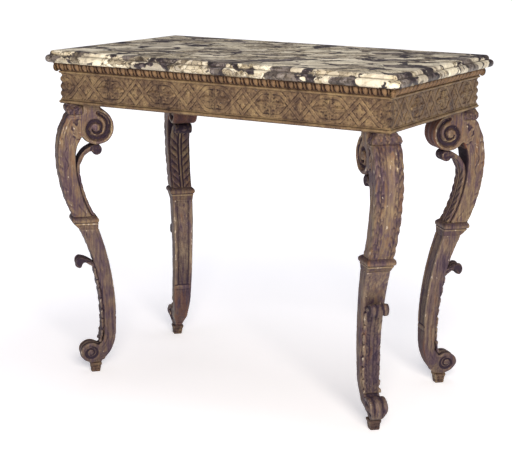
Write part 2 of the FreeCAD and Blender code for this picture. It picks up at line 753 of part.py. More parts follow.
# The back of the tip leaves the split in line with the stem, so the tip clears it
TIP_RUN, TIP_RISE = f"(inner_tip_in + {split_back})", f"({TIP_TOP} - {SPLIT_LEVEL})"
TIP_LEAN = (f"((({split_back} - {WAIST_MIDDLE}) * {TIP_RUN} + "
            f"({WAIST_LEVEL} - {SPLIT_LEVEL}) * {TIP_RISE}) / {LEAF_BACK})")
TIP_SWEEP = f"(({TIP_RUN}^2 + {TIP_RISE}^2) / (2 * {TIP_LEAN}))"
inner_leaf = new_body("inner_leaf_front_right")
inner_side = outline(inner_leaf, "inner_leaf_side", "XZ_Plane", [
    (inner_leaf_place(LEAF_BACK, "collar_top"), "collar_top"),
    (split_back, SPLIT_LEVEL, LEAF_BACK, "left"),
    ("-inner_tip_in", TIP_TOP, TIP_SWEEP, "left"),
    ("-inner_tip_in - inner_tip_round", TIP_MIDDLE, "inner_tip_round", "left"),
    ("-inner_tip_in", f"{TIP_MIDDLE} - inner_tip_round", "inner_tip_round", "left"),
    ("-inner_tip_in + inner_tip_curl", CURL_LEVEL, "inner_tip_curl", "left"),
    (split_face, SPLIT_LEVEL,
     upright_radius(f"{CURL_LEVEL} - {SPLIT_LEVEL}", f"{split_face} + inner_tip_in - inner_tip_curl"),
     "right"),
    (inner_leaf_place(LEAF_FACE, "collar_top"), "collar_top", LEAF_FACE, "right"),
])
pad(inner_leaf, inner_side, "inner_leaf_breadth", side="Symmetric")
hand_in(*four_corners("inner_leaf", set_on_diagonal(inner_leaf)))

# Leaf glued to the outer face of the lower half: its tip stands out as a spur and hooks downwards
ANKLE_MIDDLE = f"(-ankle_in + {ANKLE_ROUND})"
OUTER_BACK = f"({ANKLE_ROUND} - glue_gap)"
OUTER_FACE = f"({OUTER_BACK} - outer_leaf_thickness)"
SPUR_ROOT = "(spur_height - spur_root_drop)"


def outer_leaf_place(radius, height):
    return on_arc(ANKLE_MIDDLE, "-", radius, "ankle_height", height)


outer_leaf = new_body("outer_leaf_front_right")
outer_side = outline(outer_leaf, "outer_leaf_side", "XZ_Plane", [
    (f"{ANKLE_MIDDLE} - {OUTER_BACK}", STEM_FOOT),
    (f"{ANKLE_MIDDLE} - {OUTER_BACK}", "ankle_height"),
    (outer_leaf_place(OUTER_BACK, "spur_height"), "spur_height", OUTER_BACK, "right"),
    ("-spur_top_in", "spur_height + spur_top_rise", "2 * spur_top_in", "right"),
    ("-spur_tip_in", "spur_height + spur_tip_rise", "spur_top_in - spur_tip_in", "right"),
    ("-spur_end_in", "spur_height - spur_end_drop", "spur_tip_rise + spur_end_drop", "right"),
    ("-spur_end_in - spur_end_thickness", "spur_height - spur_end_drop + spur_end_thickness / 2"),
    ("-spur_inside_in", "spur_height + spur_inside_rise", "spur_tip_rise + spur_end_drop", "left"),
    (outer_leaf_place(OUTER_FACE, SPUR_ROOT), SPUR_ROOT, "spur_root_drop + spur_inside_rise", "left"),
    (f"{ANKLE_MIDDLE} - {OUTER_FACE}", "ankle_height", OUTER_FACE, "left"),
    (f"{ANKLE_MIDDLE} - {OUTER_FACE}", STEM_FOOT),
])
shape_flanks(outer_leaf, outer_side, STEM_FOOT, "spur_height + spur_top_rise",
             lambda height: "outer_leaf_breadth", canted)
hand_in(*four_corners("outer_leaf", set_on_diagonal(outer_leaf)))

# Dowels, grouped: two in the head of each leg, one through each collar
corner_dowels = set_on_diagonal(group("head_dowels", leg_dowels("head_dowel", "dowel_radius", "0")))
hand_in(group("leg_dowels", four_corners("head_dowels", corner_dowels)))
joint_dowel = set_on_diagonal(group("joint_dowel", [collar_dowel("joint_rod", "collar_dowel_radius", "0")]))
hand_in(group("collar_dowels", four_corners("joint_dowel", joint_dowel)))

# Every object has to be sound before anything is written
doc.recompute()
for thing in doc.Objects:
    faults = {"Invalid", "Error"} & set(thing.State)
    if faults:
        raise RuntimeError(f"{thing.Label} is {faults}")
for piece in sub_parts:
    if piece.Shape.isNull() or not piece.Shape.isValid() or not piece.Shape.Solids:
        raise RuntimeError(f"{piece.Label} has no sound shape")

os.makedirs("parts", exist_ok=True)
for piece in sub_parts:
    piece.Shape.exportStep(f"parts/{piece.Label}.step")
print(len(sub_parts), "sub-parts written")
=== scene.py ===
import math
from functools import partial

import bmesh
import bpy
import numpy as np
from mathutils import Matrix, Vector, noise
from mathutils.kdtree import KDTree


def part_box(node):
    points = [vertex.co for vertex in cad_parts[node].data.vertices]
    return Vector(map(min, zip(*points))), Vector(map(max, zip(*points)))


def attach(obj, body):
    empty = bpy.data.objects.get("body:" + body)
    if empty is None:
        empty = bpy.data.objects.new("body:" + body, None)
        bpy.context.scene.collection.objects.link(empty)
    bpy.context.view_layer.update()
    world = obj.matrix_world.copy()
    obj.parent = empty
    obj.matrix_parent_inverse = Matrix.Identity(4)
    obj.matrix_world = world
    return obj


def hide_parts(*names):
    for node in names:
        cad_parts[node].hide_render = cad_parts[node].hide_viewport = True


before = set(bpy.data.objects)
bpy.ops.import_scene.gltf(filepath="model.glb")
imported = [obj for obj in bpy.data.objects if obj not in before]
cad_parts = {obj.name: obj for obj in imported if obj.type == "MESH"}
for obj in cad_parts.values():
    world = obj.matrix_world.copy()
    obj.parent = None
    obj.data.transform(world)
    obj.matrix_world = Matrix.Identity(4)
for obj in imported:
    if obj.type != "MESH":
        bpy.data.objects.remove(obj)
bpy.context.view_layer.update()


# The room: a plain pale floor that runs off to white, and a white backdrop all round that lights nothing.
# Wide soft studio boxes hang before and above the table. The camera stands before the table's front right
# corner, a little above the slab.
def linear(code):
    """An sRGB hex colour as linear red, green, blue and alpha"""
    shares = [int(code[start:start + 2], 16) / 255 for start in (1, 3, 5)]
    return [c / 12.92 if c <= 0.04045 else ((c + 0.055) / 1.055) ** 2.4 for c in shares] + [1]


def add(tree, kind, feeds=(), stops=None, **settings):
    """Add one node, set its options, and fill or link its inputs in turn, by name or by number;
    a kind in capitals is arithmetic, and a node that feeds another stands for its first live output"""
    if kind.isupper():
        kind, settings = "Math", {"operation": kind}
    node = tree.nodes.new(kind if "Node" in kind else "ShaderNode" + kind)
    for name, value in settings.items():
        setattr(node, name, value)
    if stops:
        ramp = node.color_ramp.elements
        while len(ramp) < len(stops):
            ramp.new(0.5)
        for element, (place, colour) in zip(ramp, stops):
            element.position = place
            element.color = linear(colour)
    for key, value in feeds.items() if isinstance(feeds, dict) else enumerate(feeds):
        if isinstance(value, bpy.types.Node):
            value = next(socket for socket in value.outputs if socket.enabled)
        if isinstance(value, bpy.types.NodeSocket):
            tree.links.new(value, node.inputs[key])
        else:
            node.inputs[key].default_value = value
    return node


def new_finish(name):
    """An empty material, a way to put nodes into it, and the place on the object that its patterns follow"""
    finish = bpy.data.materials.new(name)
    finish.use_nodes = True
    finish.node_tree.nodes.clear()
    put = partial(add, finish.node_tree)
    return finish, put, put("TexCoord").outputs["Object"]


# Painted studio board: matt white, with a painted glow of its own that grows away from the table,
# so that the floor near the table is darker, as a painted shadow
board, put, place = new_finish("matt_studio_board")
away = put("VectorMath", [place], operation="LENGTH")
glow = put("MapRange", {"Value": away, "From Min": 0.7, "From Max": 2.2, "To Min": 0.38, "To Max": 0.97})
paint = put("BsdfPrincipled", {"Base Color": linear("#eff1f6"), "Roughness": 0.9,
                               "Emission Color": linear("#ffffff"), "Emission Strength": glow})
put("OutputMaterial", {"Surface": paint})


def into_scene(name, data):
    """A new object in the scene, from a mesh, a lamp or a camera"""
    thing = bpy.data.objects.new(name, data)
    bpy.context.scene.collection.objects.link(thing)
    return thing


def set_up(name, points, faces):
    """Set up one part of the studio"""
    mesh = bpy.data.meshes.new(name)
    mesh.from_pydata(points, [], faces)
    mesh.materials.append(board)
    part = into_scene(name, mesh)
    return part


reach = 40
set_up("floor", [(-reach, -reach, 0), (reach, -reach, 0), (reach, reach, 0), (-reach, reach, 0)],
       [(0, 1, 2, 3)])
wall_away, wall_foot, wall_top, panes = 30, -0.01, 14, 48
ring = [(wall_away * math.cos(turn), wall_away * math.sin(turn))
        for turn in np.arange(panes) * 2 * math.pi / panes]
wall = set_up("backdrop", [(x, y, z) for z in (wall_foot, wall_top) for x, y in ring],
              [(pane, panes + pane, panes + (pane + 1) % panes, (pane + 1) % panes)
               for pane in range(panes)])
wall.visible_diffuse = wall.visible_glossy = wall.visible_shadow = False

sky = bpy.data.worlds.new("white_room")
sky.use_nodes = True
sky.node_tree.nodes["Background"].inputs["Color"].default_value = linear("#e9e6ff")
sky.node_tree.nodes["Background"].inputs["Strength"].default_value = 0.2
bpy.context.scene.world = sky
bpy.context.scene.view_settings.view_transform = "Standard"

table_middle = Vector((0, 0, 0.5))
for name, place, width, height, power, tint in (
        ("key_box", (2.25, -3.1, 2.1), 2.0, 1.6, 205, "#fff4e6"),
        ("fill_box", (-2.4, -2.8, 1.6), 1.8, 1.6, 5, "#d6ceff"),
        ("top_box", (0.0, 0.3, 3.2), 2.2, 1.8, 28, "#ffffff")):
    lamp = bpy.data.lights.new(name, "AREA")
    lamp.shape = "RECTANGLE"
    lamp.size, lamp.size_y = width, height
    lamp.energy = power
    lamp.color = linear(tint)[:3]
    box = into_scene(name, lamp)
    box.location = place
    box.rotation_euler = (table_middle - Vector(place)).to_track_quat("-Z", "Y").to_euler()

yaw, pitch, roll = 29.5749, 12.7222, 0.7467
stand = Matrix.Translation((1.5767, -2.8358, 1.1093))
for angle, axis in ((yaw, "Z"), (90 - pitch, "X"), (roll, "Z")):
    stand = stand @ Matrix.Rotation(math.radians(angle), 4, axis)
picture_width, focal_pixels = 512, 1373.18
camera_data = bpy.data.cameras.new("camera")
camera_data.sensor_width = 36
camera_data.lens = focal_pixels * camera_data.sensor_width / picture_width
camera = into_scene("camera", camera_data)
camera.matrix_world = stand
bpy.context.scene.camera = camera

# Marble slab: one piece of breccia, sawn, moulded along all four edges and polished by hand.
# It lies loose on the frame, held by its own weight.

# Breccia marble, its polish dulled by use: lumps of cream and grey drawn out along the slab, some of them
# broken into veined fragments, in near black purple seams, with dirt and painted shade in the moulding's
# quirk
breccia, put, place = new_finish("worn_polished_breccia_marble")
lump, fragment, speck = 0.04, 0.017, 0.011
drift = put("TexNoise", {"Vector": place, "Scale": 1 / 0.045, "Detail": 5, "Roughness": 0.6})
shift = put("VectorMath", [drift.outputs["Color"], (0.5, 0.5, 0.5)], operation="SUBTRACT")
shift = put("VectorMath", {0: shift, "Scale": 0.055}, operation="SCALE")
bent = put("VectorMath", [place, shift])
drawn = put("Mapping", {"Vector": bent, "Rotation": (0, 0, 0.5), "Scale": (1.9, 0.95, 1.3)},
            vector_type="TEXTURE")
lumps = put("TexVoronoi", {"Vector": drawn, "Scale": 1 / lump})
split = put("SeparateColor", [lumps.outputs["Color"]])
lump_tone = put("ValToRGB", {"Fac": split}, stops=(
    (0.0, "#ebe5cf"), (0.34, "#e5dec5"), (0.38, "#b8b19f"), (0.54, "#a8a190"), (0.58, "#ddd6c0"),
    (0.8, "#cbc4b0"), (0.84, "#8c8580"), (1.0, "#76706f")))
mottle = put("TexNoise", {"Vector": bent, "Scale": 1 / speck, "Detail": 6, "Roughness": 0.7})
specked = put("ValToRGB", {"Fac": mottle}, stops=((0.34, "#544c4a"), (0.44, "#b5ac9c"), (0.52, "#ffffff")))
broken = put("MapRange", {"Value": split.outputs[1], "From Min": 0.42, "From Max": 0.72, "To Min": 0.2})
grey = put("GREATER_THAN", [split, 0.82])
broken = put("MAXIMUM", [broken, grey])
shards = put("TexVoronoi", {"Vector": drawn, "Scale": 1 / fragment})
shards = put("SeparateColor", [shards.outputs["Color"]])
shards = put("ValToRGB", {"Fac": shards}, stops=((0.0, "#a09992"), (0.4, "#e4dfd5"), (1.0, "#ffffff")))
cloud = put("TexNoise", {"Vector": drawn, "Scale": 1 / 0.03, "Detail": 8, "Roughness": 0.65})
cloud = put("ValToRGB", {"Fac": cloud}, stops=((0.34, "#a29b9b"), (0.45, "#e6e2db"), (0.52, "#ffffff")))
stone = lump_tone
for share, layer in ((broken, specked), (broken, shards), (0.75, cloud)):
    stone = put("Mix", {0: share, 6: stone, 7: layer}, data_type="RGBA", blend_type="MULTIPLY")
border = put("TexVoronoi", {"Vector": drawn, "Scale": 1 / lump}, feature="DISTANCE_TO_EDGE")
girth = put("TexNoise", {"Vector": place, "Scale": 1 / 0.06, "Detail": 4, "Roughness": 0.6})
girth = put("MapRange", {"Value": girth, "From Min": 0.46, "From Max": 0.72,
                         "To Min": -0.02, "To Max": 0.23})
seam = put("SUBTRACT", [girth, border])
seams = put("MapRange", {"Value": seam, "From Min": -0.018, "From Max": 0.012})
thread = put("TexVoronoi", {"Vector": drawn, "Scale": 1 / fragment}, feature="DISTANCE_TO_EDGE")
threads = put("MapRange", {"Value": thread, "From Min": 0.05, "From Max": 0.02, "To Max": 0.75})
threads = put("MULTIPLY", [threads, broken])
dark = put("MAXIMUM", [seams, threads])
bed = put("ValToRGB", {"Fac": mottle}, stops=((0.44, "#17100f"), (0.54, "#2a2024"), (0.64, "#655b59")))
slab_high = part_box("marble_top")[1]
quirk = slab_high - Vector((0.011, 0.011, 0.0105))
mirrored = put("VectorMath", [place], operation="ABSOLUTE")
offset = put("VectorMath", [mirrored, quirk], operation="SUBTRACT")
offset = put("SeparateXYZ", [offset])
outward = put("MAXIMUM", [offset.outputs[0], offset.outputs[1]])
offset = put("CombineXYZ", {0: outward, 2: offset.outputs[2]})
offset = put("VectorMath", [offset], operation="LENGTH")
# Painted shade, partly dirt: a dark line along the quirk of the moulded edge
quirk_dirt_and_shade = put("MapRange", {"Value": offset, "From Min": 0.0034, "From Max": 0.0012, "To Max": 0.55})
for share, layer in ((dark, bed), (quirk_dirt_and_shade, linear("#40362f"))):
    stone = put("Mix", {0: share, 6: stone, 7: layer}, data_type="RGBA")
polish = put("MapRange", {"Value": mottle, "To Min": 0.5, "To Max": 0.7})
shader = put("BsdfPrincipled", {"Base Color": stone, "IOR": 1.5, "Roughness": polish})
put("OutputMaterial", {"Surface": shader})


def dress(node, finish):
    """Give a carried-over solid its finish"""
    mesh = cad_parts[node].data
    mesh.materials.clear()
    mesh.materials.append(finish)


dress("marble_top", breccia)


# Frieze boards: four lengths of softwood, mitred at the corners, carved in low relief with crossed straps
# round four-petalled flowers, then laid with gesso, red bole and gold leaf, now worn.
def gilding(name, leaf, dull, bole, dirt_and_shade, bright, wear, gloss, streak, shine):
    """Old gilding that reads the hollows, edges and thin leaf marked on each carved piece, with painted
    shade, partly dirt, in the hollows and painted highlight, partly bright leaf, on the edges; streak draws
    its patches out upright"""
    finish, put, place = new_finish(name)
    short, upright, flake = (put("Mapping", {"Vector": place, "Scale": (1, 1, squeeze)})
                             for squeeze in (1 - 1.35 * streak, 0.06, 1 - 0.9 * streak))
    broad, patch, grit, runs, pit, chip = (
        put("TexNoise", {"Vector": vector, "Scale": 1 / size, "Detail": detail, "Roughness": grain})
        for vector, size, detail, grain in (
            (place, 0.06, 5, 0.6), (short, 0.014, 6, 0.65), (place, 0.0035, 3, 0.6),
            (upright, 0.0042, 4, 0.5), (short, 0.0038, 4, 0.5), (flake, 0.006, 3, 0.5)))
    hollow, edge, thin = (put("Attribute", attribute_name=mark).outputs["Fac"]
                          for mark in ("hollow", "edge", "thin"))
    tone = -0.45
    for layer, share in ((broad, 0.9), (patch, 1.5 - streak), (runs, 1.6 * streak)):
        tone = put("MULTIPLY_ADD", [layer, share, tone])
    tone = put("ADD", [tone, -0.25 - 0.3 * streak])
    gold = put("ValToRGB", {"Fac": tone}, stops=((0.08, dirt_and_shade), (0.34, dull), (0.56, leaf), (0.85, bright)))
    rub = put("MULTIPLY_ADD", [runs, streak, patch])
    rub = put("MULTIPLY_ADD", [thin, 0.4, rub])
    bare = wear + streak * 0.5
    rubbed = put("MapRange", {"Value": rub, "From Min": bare, "From Max": bare + 0.14, "To Max": 0.7})
    pits = put("MapRange", {"Value": pit, "From Min": 0.46, "From Max": 0.33, "To Max": 0.42 - 0.4 * streak})
    low = put("ADD", [hollow, pits])
    sunk = put("MULTIPLY_ADD", [grit, 0.6, low])
    # Painted shade in the marked hollows, with dirt in the pits and grit
    shade_and_grime = put("MapRange", {"Value": sunk, "From Min": 0.34, "From Max": 1.0, "To Max": 0.95})
    # Painted highlight on the marked edges
    rise = put("MULTIPLY", [broad, edge])
    lit = put("MapRange", {"Value": rise, "From Min": 0.1, "From Max": 0.5, "To Max": shine})
    chance = put("MULTIPLY_ADD", [edge, 0.04 + 0.2 * streak, chip])
    chips = put("MapRange", {"Value": chance, "From Min": 0.75 - 0.04 * streak,
                             "From Max": 0.8 - 0.04 * streak, "To Max": 0.75})
    gesso = "#b0a495"
    for share, colour in ((rubbed, bole), (shade_and_grime, dirt_and_shade), (lit, bright), (chips, gesso)):
        gold = put("Mix", {0: share, 6: gold, 7: linear(colour)}, data_type="RGBA")
    sheen = put("MULTIPLY_ADD", [shade_and_grime, -gloss, gloss])
    rough = put("MapRange", {"Value": patch, "From Min": 0.3, "From Max": 0.7,
                             "To Min": 0.42, "To Max": 0.6})
    rough = put("MULTIPLY_ADD", [shade_and_grime, 0.38, rough])
    bumps = put("MULTIPLY_ADD", [patch, 0.6, grit])
    bump = put("Bump", {"Height": bumps, "Strength": 0.4, "Distance": 0.0012})
    shader = put("BsdfPrincipled", {"Base Color": gold, "Metallic": sheen, "Specular IOR Level": 0.2,
                                    "Roughness": rough, "Normal": bump})
    put("OutputMaterial", {"Surface": shader})
    return finish


# Worn water gilding: bright leaf with a painted highlight on the heights, red bole where it is rubbed,
# brown dirt and painted shade in the hollows.
# Its real cracks and grit are well under a millimetre, and are drawn 3 to 6 mm wide so that they show.
frieze_gold = gilding("worn_water_gilding", leaf="#776249", dull="#5d4a3a", bole="#603e31", dirt_and_shade="#2a1f1e",
                      bright="#96815d", wear=0.6, gloss=0.4, streak=0.1, shine=0.5)


def ease(low, high, x):
    """Smooth step from 0 at low to 1 at high, either way round"""
    share = np.clip((x - low) / (high - low), 0, 1)
    return share * share * (3 - 2 * share)


def hump(x, middle, width):
    """A rounded ridge of height 1"""
    return np.exp(-((x - middle) / width) ** 2)


def dome(x):
    """Half a round section, 1 high at its middle and 0 from 1 outwards"""
    return np.sqrt(np.clip(1 - x ** 2, 0, 1))


def unevenness(*place):
    """Smooth noise from -1 to 1 at many places, with a list or one number for each axis"""
    axes = np.broadcast_arrays(*place)
    values = [noise.noise(Vector(spot)) for spot in zip(*(axis.ravel() for axis in axes))]
    return np.reshape(values, axes[0].shape)


def petal(x, y, turn, length, width, rise):
    """Height of one lobed leaf that grows from the origin, with a vein along its middle"""
    along = (x * math.cos(turn) + y * math.sin(turn)) / length
    across = y * math.cos(turn) - x * math.sin(turn)
    inside = (along > 0) & (along < 1)
    lobes = 1 + 0.22 * np.cos(6 * np.pi * along)
    half = 1e-6 + width / 2 * np.sqrt(np.clip(4 * along * (1 - along), 0, 1)) * lobes
    vein = 1 - 0.45 * hump(across, 0, 0.1 * width)
    return np.where(inside, rise * dome(across / half) * vein * ease(0, 0.18, along), 0)


GROUND = -1.3
STRAP_HIGH, STRAP_FALL = 26.5, 52
STRAP_BEND, STRAP_RUN = 0.17, 0.33
LATTICE = 5.2


def strap_and_flower(t, v, pitch):
    """Height of the frieze carving in millimetres, t along from the nearest flower, v up from mid panel,
    and lines of painted shade beside the straps, where the chisel cut along them"""
    share = np.abs(t) / pitch
    knee = (share - STRAP_BEND) / STRAP_RUN
    soft = np.sqrt(knee ** 2 + 0.012)
    strap = STRAP_HIGH - STRAP_FALL * (soft + knee) / 2
    slope = STRAP_FALL / (STRAP_RUN * pitch) * (knee / soft + 1) / 2
    lattice = groove = np.zeros(t.shape)
    for line in (t + v, t - v):
        wave = np.abs(line / LATTICE - np.round(line / LATTICE))
        lattice = np.maximum(lattice, ease(0.22, 0.08, wave))
    crossing = ease(0.11, 0.05, np.abs(share - 0.36)) * ease(20, 12, np.abs(v))
    reliefs = [0.6 * lattice * crossing]
    for line in (strap, -strap):
        off = np.abs(v - line) / np.sqrt(1 + slope ** 2)
        reliefs.append(ease(4.0, 2.9, off) * (2.1 - 0.9 * hump(off, 0, 1.1)))
        groove = np.maximum(groove, hump(off, 4.5, 0.9) * ease(3.2, 4.2, off)) * ease(2.2, 3.4, off)
    halfway = pitch / 2 - np.abs(t)
    for turn in range(4):
        angle = turn * math.pi / 2
        length, width = (36, 13) if turn % 2 == 0 else (25, 16)
        reliefs += [petal(t, v, angle, length, width, 3.9), petal(t, v, angle + math.pi / 4, 19, 8, 2.5),
                    petal(halfway, v, angle, 13, 9, 2.4),
                    petal(28.5 - np.abs(v), (share - 0.355) * pitch, (turn - 1.5) * 0.7, 12, 6, 2)]
    for off, size, rise in ((t, 8, 4.4), (halfway, 5, 2.8)):
        reliefs.append(rise * np.sqrt(np.clip(1 - (np.abs(off) + np.abs(v)) / size, 0, 1)))
    return GROUND + np.maximum.reduce(reliefs), groove


def blur(grid, rounds):
    """Even out a grid of values with its neighbours"""
    for _ in range(rounds):
        padded = np.pad(grid, 1, mode="edge")
        grid = (padded[:-2, 1:-1] + padded[2:, 1:-1] + padded[1:-1, :-2] + padded[1:-1, 2:]
                + padded[1:-1, 1:-1]) / 5
    return grid


def skin(rings, count):
    """Faces round a row of rings of points, closed at both ends"""
    faces = []
    for first in range(0, (rings - 1) * count, count):
        for index in range(count):
            near, turn = first + index, (index + 1) % count - index
            faces.append((near, near + count, near + count + turn, near + turn))
    return faces + [tuple(range(count)), tuple(reversed(range((rings - 1) * count, rings * count)))]


def mesh_piece(name, points, faces, finish, marks=None, crease=None):
    """A plain mesh object in its place, with marks for the finish to read"""
    mesh = bpy.data.meshes.new(name)
    mesh.from_pydata([tuple(p) for p in points], [], faces)
    mesh.update()
    for mark, values in (marks or {}).items():
        layer = mesh.attributes.new(mark, "FLOAT", "POINT")
        layer.data.foreach_set("value", np.asarray(values, np.float32))
    mesh.polygons.foreach_set("use_smooth", np.ones(len(mesh.polygons), bool))
    if crease:
        mesh.set_sharp_from_angle(angle=math.radians(crease))
    mesh.materials.append(finish)
    return into_scene(name, mesh)


def fix(piece, node):
    """Tie a gilt piece to the frame, and let it stand for its solid"""
    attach(piece, "frame")
    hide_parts(node)


half_length, half_width = 0.425, 0.25
rail_low, rail_high = (corner.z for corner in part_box("front_rail"))
rail_depth = 0.028
panel_low, panel_high = rail_low + 0.010, rail_high - 0.026
# Each side has its turn and middle, half its length, and the spacing and first place of its flowers
SIDES = {
    "front": (0, (0, -half_width), half_length, 0.85 / 6, 0.0),
    "right": (90, (half_length, 0), half_width, 0.5 / 3.5, -half_width),
    "back": (180, (0, half_width), half_length, 0.85 / 6, 0.0),
    "left": (270, (-half_length, 0), half_width, 0.5 / 3.5, half_width),
}


def on_side(side):
    """Turns what is drawn along X, with its outside towards -Y, on to one side of the table"""
    angle, (x, y), *_ = SIDES[side]
    return Matrix.Translation((x, y, 0)) @ Matrix.Rotation(math.radians(angle), 4, "Z")


column, panel_rows, lip = 0.0011, 56, 0.0005
for side, (_, _, half, pitch, flower) in SIDES.items():
    along = np.linspace(-half, half, int(round(2 * half / column)) + 1)
    rows = np.concatenate(([rail_low, panel_low - lip], np.linspace(panel_low, panel_high, panel_rows),
                           [panel_high + lip, rail_high]))
    u, z = np.meshgrid(along, rows, indexing="ij")
    v = z - (panel_low + panel_high) / 2
    from_flower = (u - flower + pitch / 2) % pitch - pitch / 2
    carved, groove = strap_and_flower(from_flower * 1000, v * 1000, pitch * 1000)
    margin = ease(0.0310, 0.0285, np.abs(v))
    corner = (half - np.abs(u)) * 1000
    wave = v * 1000 * math.pi / 17
    lobed = 19 + 3 * np.cos(2 * wave)
    leaf = 2.9 * dome((corner - 7) / (lobed - 7)) * ease(lobed, lobed - 2, corner)
    leaf -= 2.6 * np.abs(np.sin(wave + corner * 0.05)) ** 4 * ease(17, 3, corner)
    at_corner = ease(lobed + 1.5, lobed - 0.5, corner)
    carved = (carved * (1 - at_corner) + (leaf + GROUND) * at_corner) * margin
    worn = unevenness(u * 38, z * 38, half * 5 + flower)
    carved = blur(carved * np.clip(0.85 + 0.5 * worn, 0.5, 1), 1)
    relief = carved * 0.001
    even = blur(carved, 7)
    blotches = np.clip(0.6 + 0.8 * unevenness(u * 110, z * 110, half * 9), 0, 1)
    near_flower = ease(0.020, 0.011, np.abs(from_flower)) * ease(0.029, 0.024, np.abs(v))
    # Painted shade in the carved hollows, in blotches round the flowers, along the strap lines and on the
    # corner leaves; painted highlight on the heights
    hollow = np.clip((even - carved) / 1.3, 0, 0.8) + (0.35 * blotches * near_flower + 0.1 * at_corner) * margin
    hollow += 0.6 * groove * blotches * (1 - at_corner) * margin
    edge = np.clip((carved - even) / 2.0, 0, 1)
    front = np.stack([u * (half + relief) / half, -relief, z], -1)
    rear_low = np.stack([along * (half - rail_depth) / half, np.full_like(along, rail_depth),
                         np.full_like(along, rail_low)], -1)
    rear_high = rear_low + np.array([0, 0, rail_high - rail_low])
    loop = np.concatenate([front, rear_high[:, None], rear_low[:, None]], 1)
    marks = {mark: np.pad(values, ((0, 0), (0, 2))).ravel()
             for mark, values in (("hollow", hollow), ("edge", edge))}
    rail = mesh_piece(f"carved_{side}_rail", loop.reshape(-1, 3), skin(*loop.shape[:2]), frieze_gold, marks,
                      crease=50)
    rail.data.transform(on_side(side))
    fix(rail, f"{side}_rail")

# Egg mouldings: strips of ovolo run with a plane, mitred, glued and pinned along the top of the frieze,
# then carved into eggs with darts between them. A thin fillet below them keeps its bright leaf, with a
# painted highlight along it.

# Rubbed gilding: brown, with much of its red bole bare on the heights that dusting hands reach first
moulding_gold = gilding("rubbed_gilding_on_red_bole", leaf="#604a38", dull="#4f3b2e", bole="#58382c",
                        dirt_and_shade="#2a1d1a", bright="#8c7050", wear=0.57, gloss=0.3, streak=0.1, shine=0.5)


def run_moulding(half, profile):
    """A strip with mitred ends, from a profile of (out, up) places that runs from the foot to the top"""
    stations = np.linspace(-1, 1, int(2 * half / 0.004) + 1)
    points = [(share * (half + out), -out, up) for share in stations for out, up in profile]
    return np.array(points), skin(len(stations), len(profile))


def arc(centre, radius, start, end, count):
    """Places on a round stretch of a profile"""
    angles = np.radians(np.linspace(start, end, count))
    return [(centre[0] + radius * math.cos(a), centre[1] + radius * math.sin(a)) for a in angles]


egg_profile = [(0, 0)] + arc((0.001, 0.003), 0.003, -90, 90, 9) + [
    (0.0022, 0.0064), (0.0034, 0.0095), (0.0050, 0.0130), (0.0075, 0.0170), (0.0105, 0.0205),
    (0.0125, 0.0230), (0.0128, 0.0252), (0.0120, 0.0260), (0, 0.0260)]
egg_profile = [(out, panel_high + up) for out, up in egg_profile]

egg_tree = bpy.data.node_groups.new("egg_and_dart_row", "GeometryNodeTree")
for socket_name, kind in (("Strip", "Geometry"), ("Eggs", "Int"), ("Pitch", "Float"), ("Middle", "Vector"),
                          ("Tilt", "Vector"), ("Egg Size", "Vector"), ("Dart Size", "Vector"),
                          ("Finish", "Material")):
    egg_tree.interface.new_socket(socket_name, in_out="INPUT", socket_type=f"NodeSocket{kind}")
egg_tree.interface.new_socket("Strip", in_out="OUTPUT", socket_type="NodeSocketGeometry")
grow = partial(add, egg_tree)
given = grow("NodeGroupInput").outputs
joined = grow("GeometryNodeJoinGeometry")
egg_tree.links.new(given["Strip"], joined.inputs[0])
for size, extra in (("Egg Size", 0), ("Dart Size", 1)):
    number = grow("ADD", [given["Eggs"], extra])
    last = grow("ADD", [number, -1])
    run = grow("MULTIPLY", [last, given["Pitch"]])
    back = grow("MULTIPLY", [run, -0.5])
    first = grow("CombineXYZ", [back])
    start = grow("VectorMath", [first, given["Middle"]])
    stride = grow("CombineXYZ", [given["Pitch"]])
    line = grow("GeometryNodeMeshLine", {"Count": number, "Start Location": start, "Offset": stride})
    ball = grow("GeometryNodeMeshUVSphere", {"Segments": 10, "Rings": 7, "Radius": 1.0})
    spot = grow("SeparateXYZ", [grow("GeometryNodeInputPosition")]).outputs
    flare = grow("MULTIPLY_ADD", [spot[2], 0.28, 0.92])
    wide = grow("MULTIPLY", [spot[0], flare])
    egg = grow("CombineXYZ", [wide, spot[1], spot[2]])
    tongue = grow("GeometryNodeSetPosition", {"Geometry": ball, "Position": egg})
    shaped = grow("GeometryNodeTransform", {"Geometry": tongue, "Scale": given[size]})
    tilted = grow("GeometryNodeTransform", {"Geometry": shaped, "Rotation": given["Tilt"]})
    placed = grow("GeometryNodeInstanceOnPoints", {"Points": line, "Instance": tilted})
    egg_tree.links.new(placed.outputs[0], joined.inputs[0])
real = grow("GeometryNodeRealizeInstances", [joined])
smooth = grow("GeometryNodeSetShadeSmooth", [real])
coated = grow("GeometryNodeSetMaterial", {"Geometry": smooth, "Material": given["Finish"]})
grow("NodeGroupOutput", [coated])


def plain_mesh(piece):
    """The mesh of a piece with its modifiers worked in"""
    bpy.context.view_layer.update()
    return bpy.data.meshes.new_from_object(piece.evaluated_get(bpy.context.evaluated_depsgraph_get()))


def grown(piece, tree, **inputs):
    """Run a node tree on a piece and keep the result as its plain mesh"""
    modifier = piece.modifiers.new(tree.name, "NODES")
    modifier.node_group = tree
    sockets = {item.name: item.identifier for item in tree.interface.items_tree if item.in_out == "INPUT"}
    for socket_name, value in inputs.items():
        modifier[sockets[socket_name.replace("_", " ")]] = value
    mesh = plain_mesh(piece)
    piece.modifiers.remove(modifier)
    piece.data = mesh


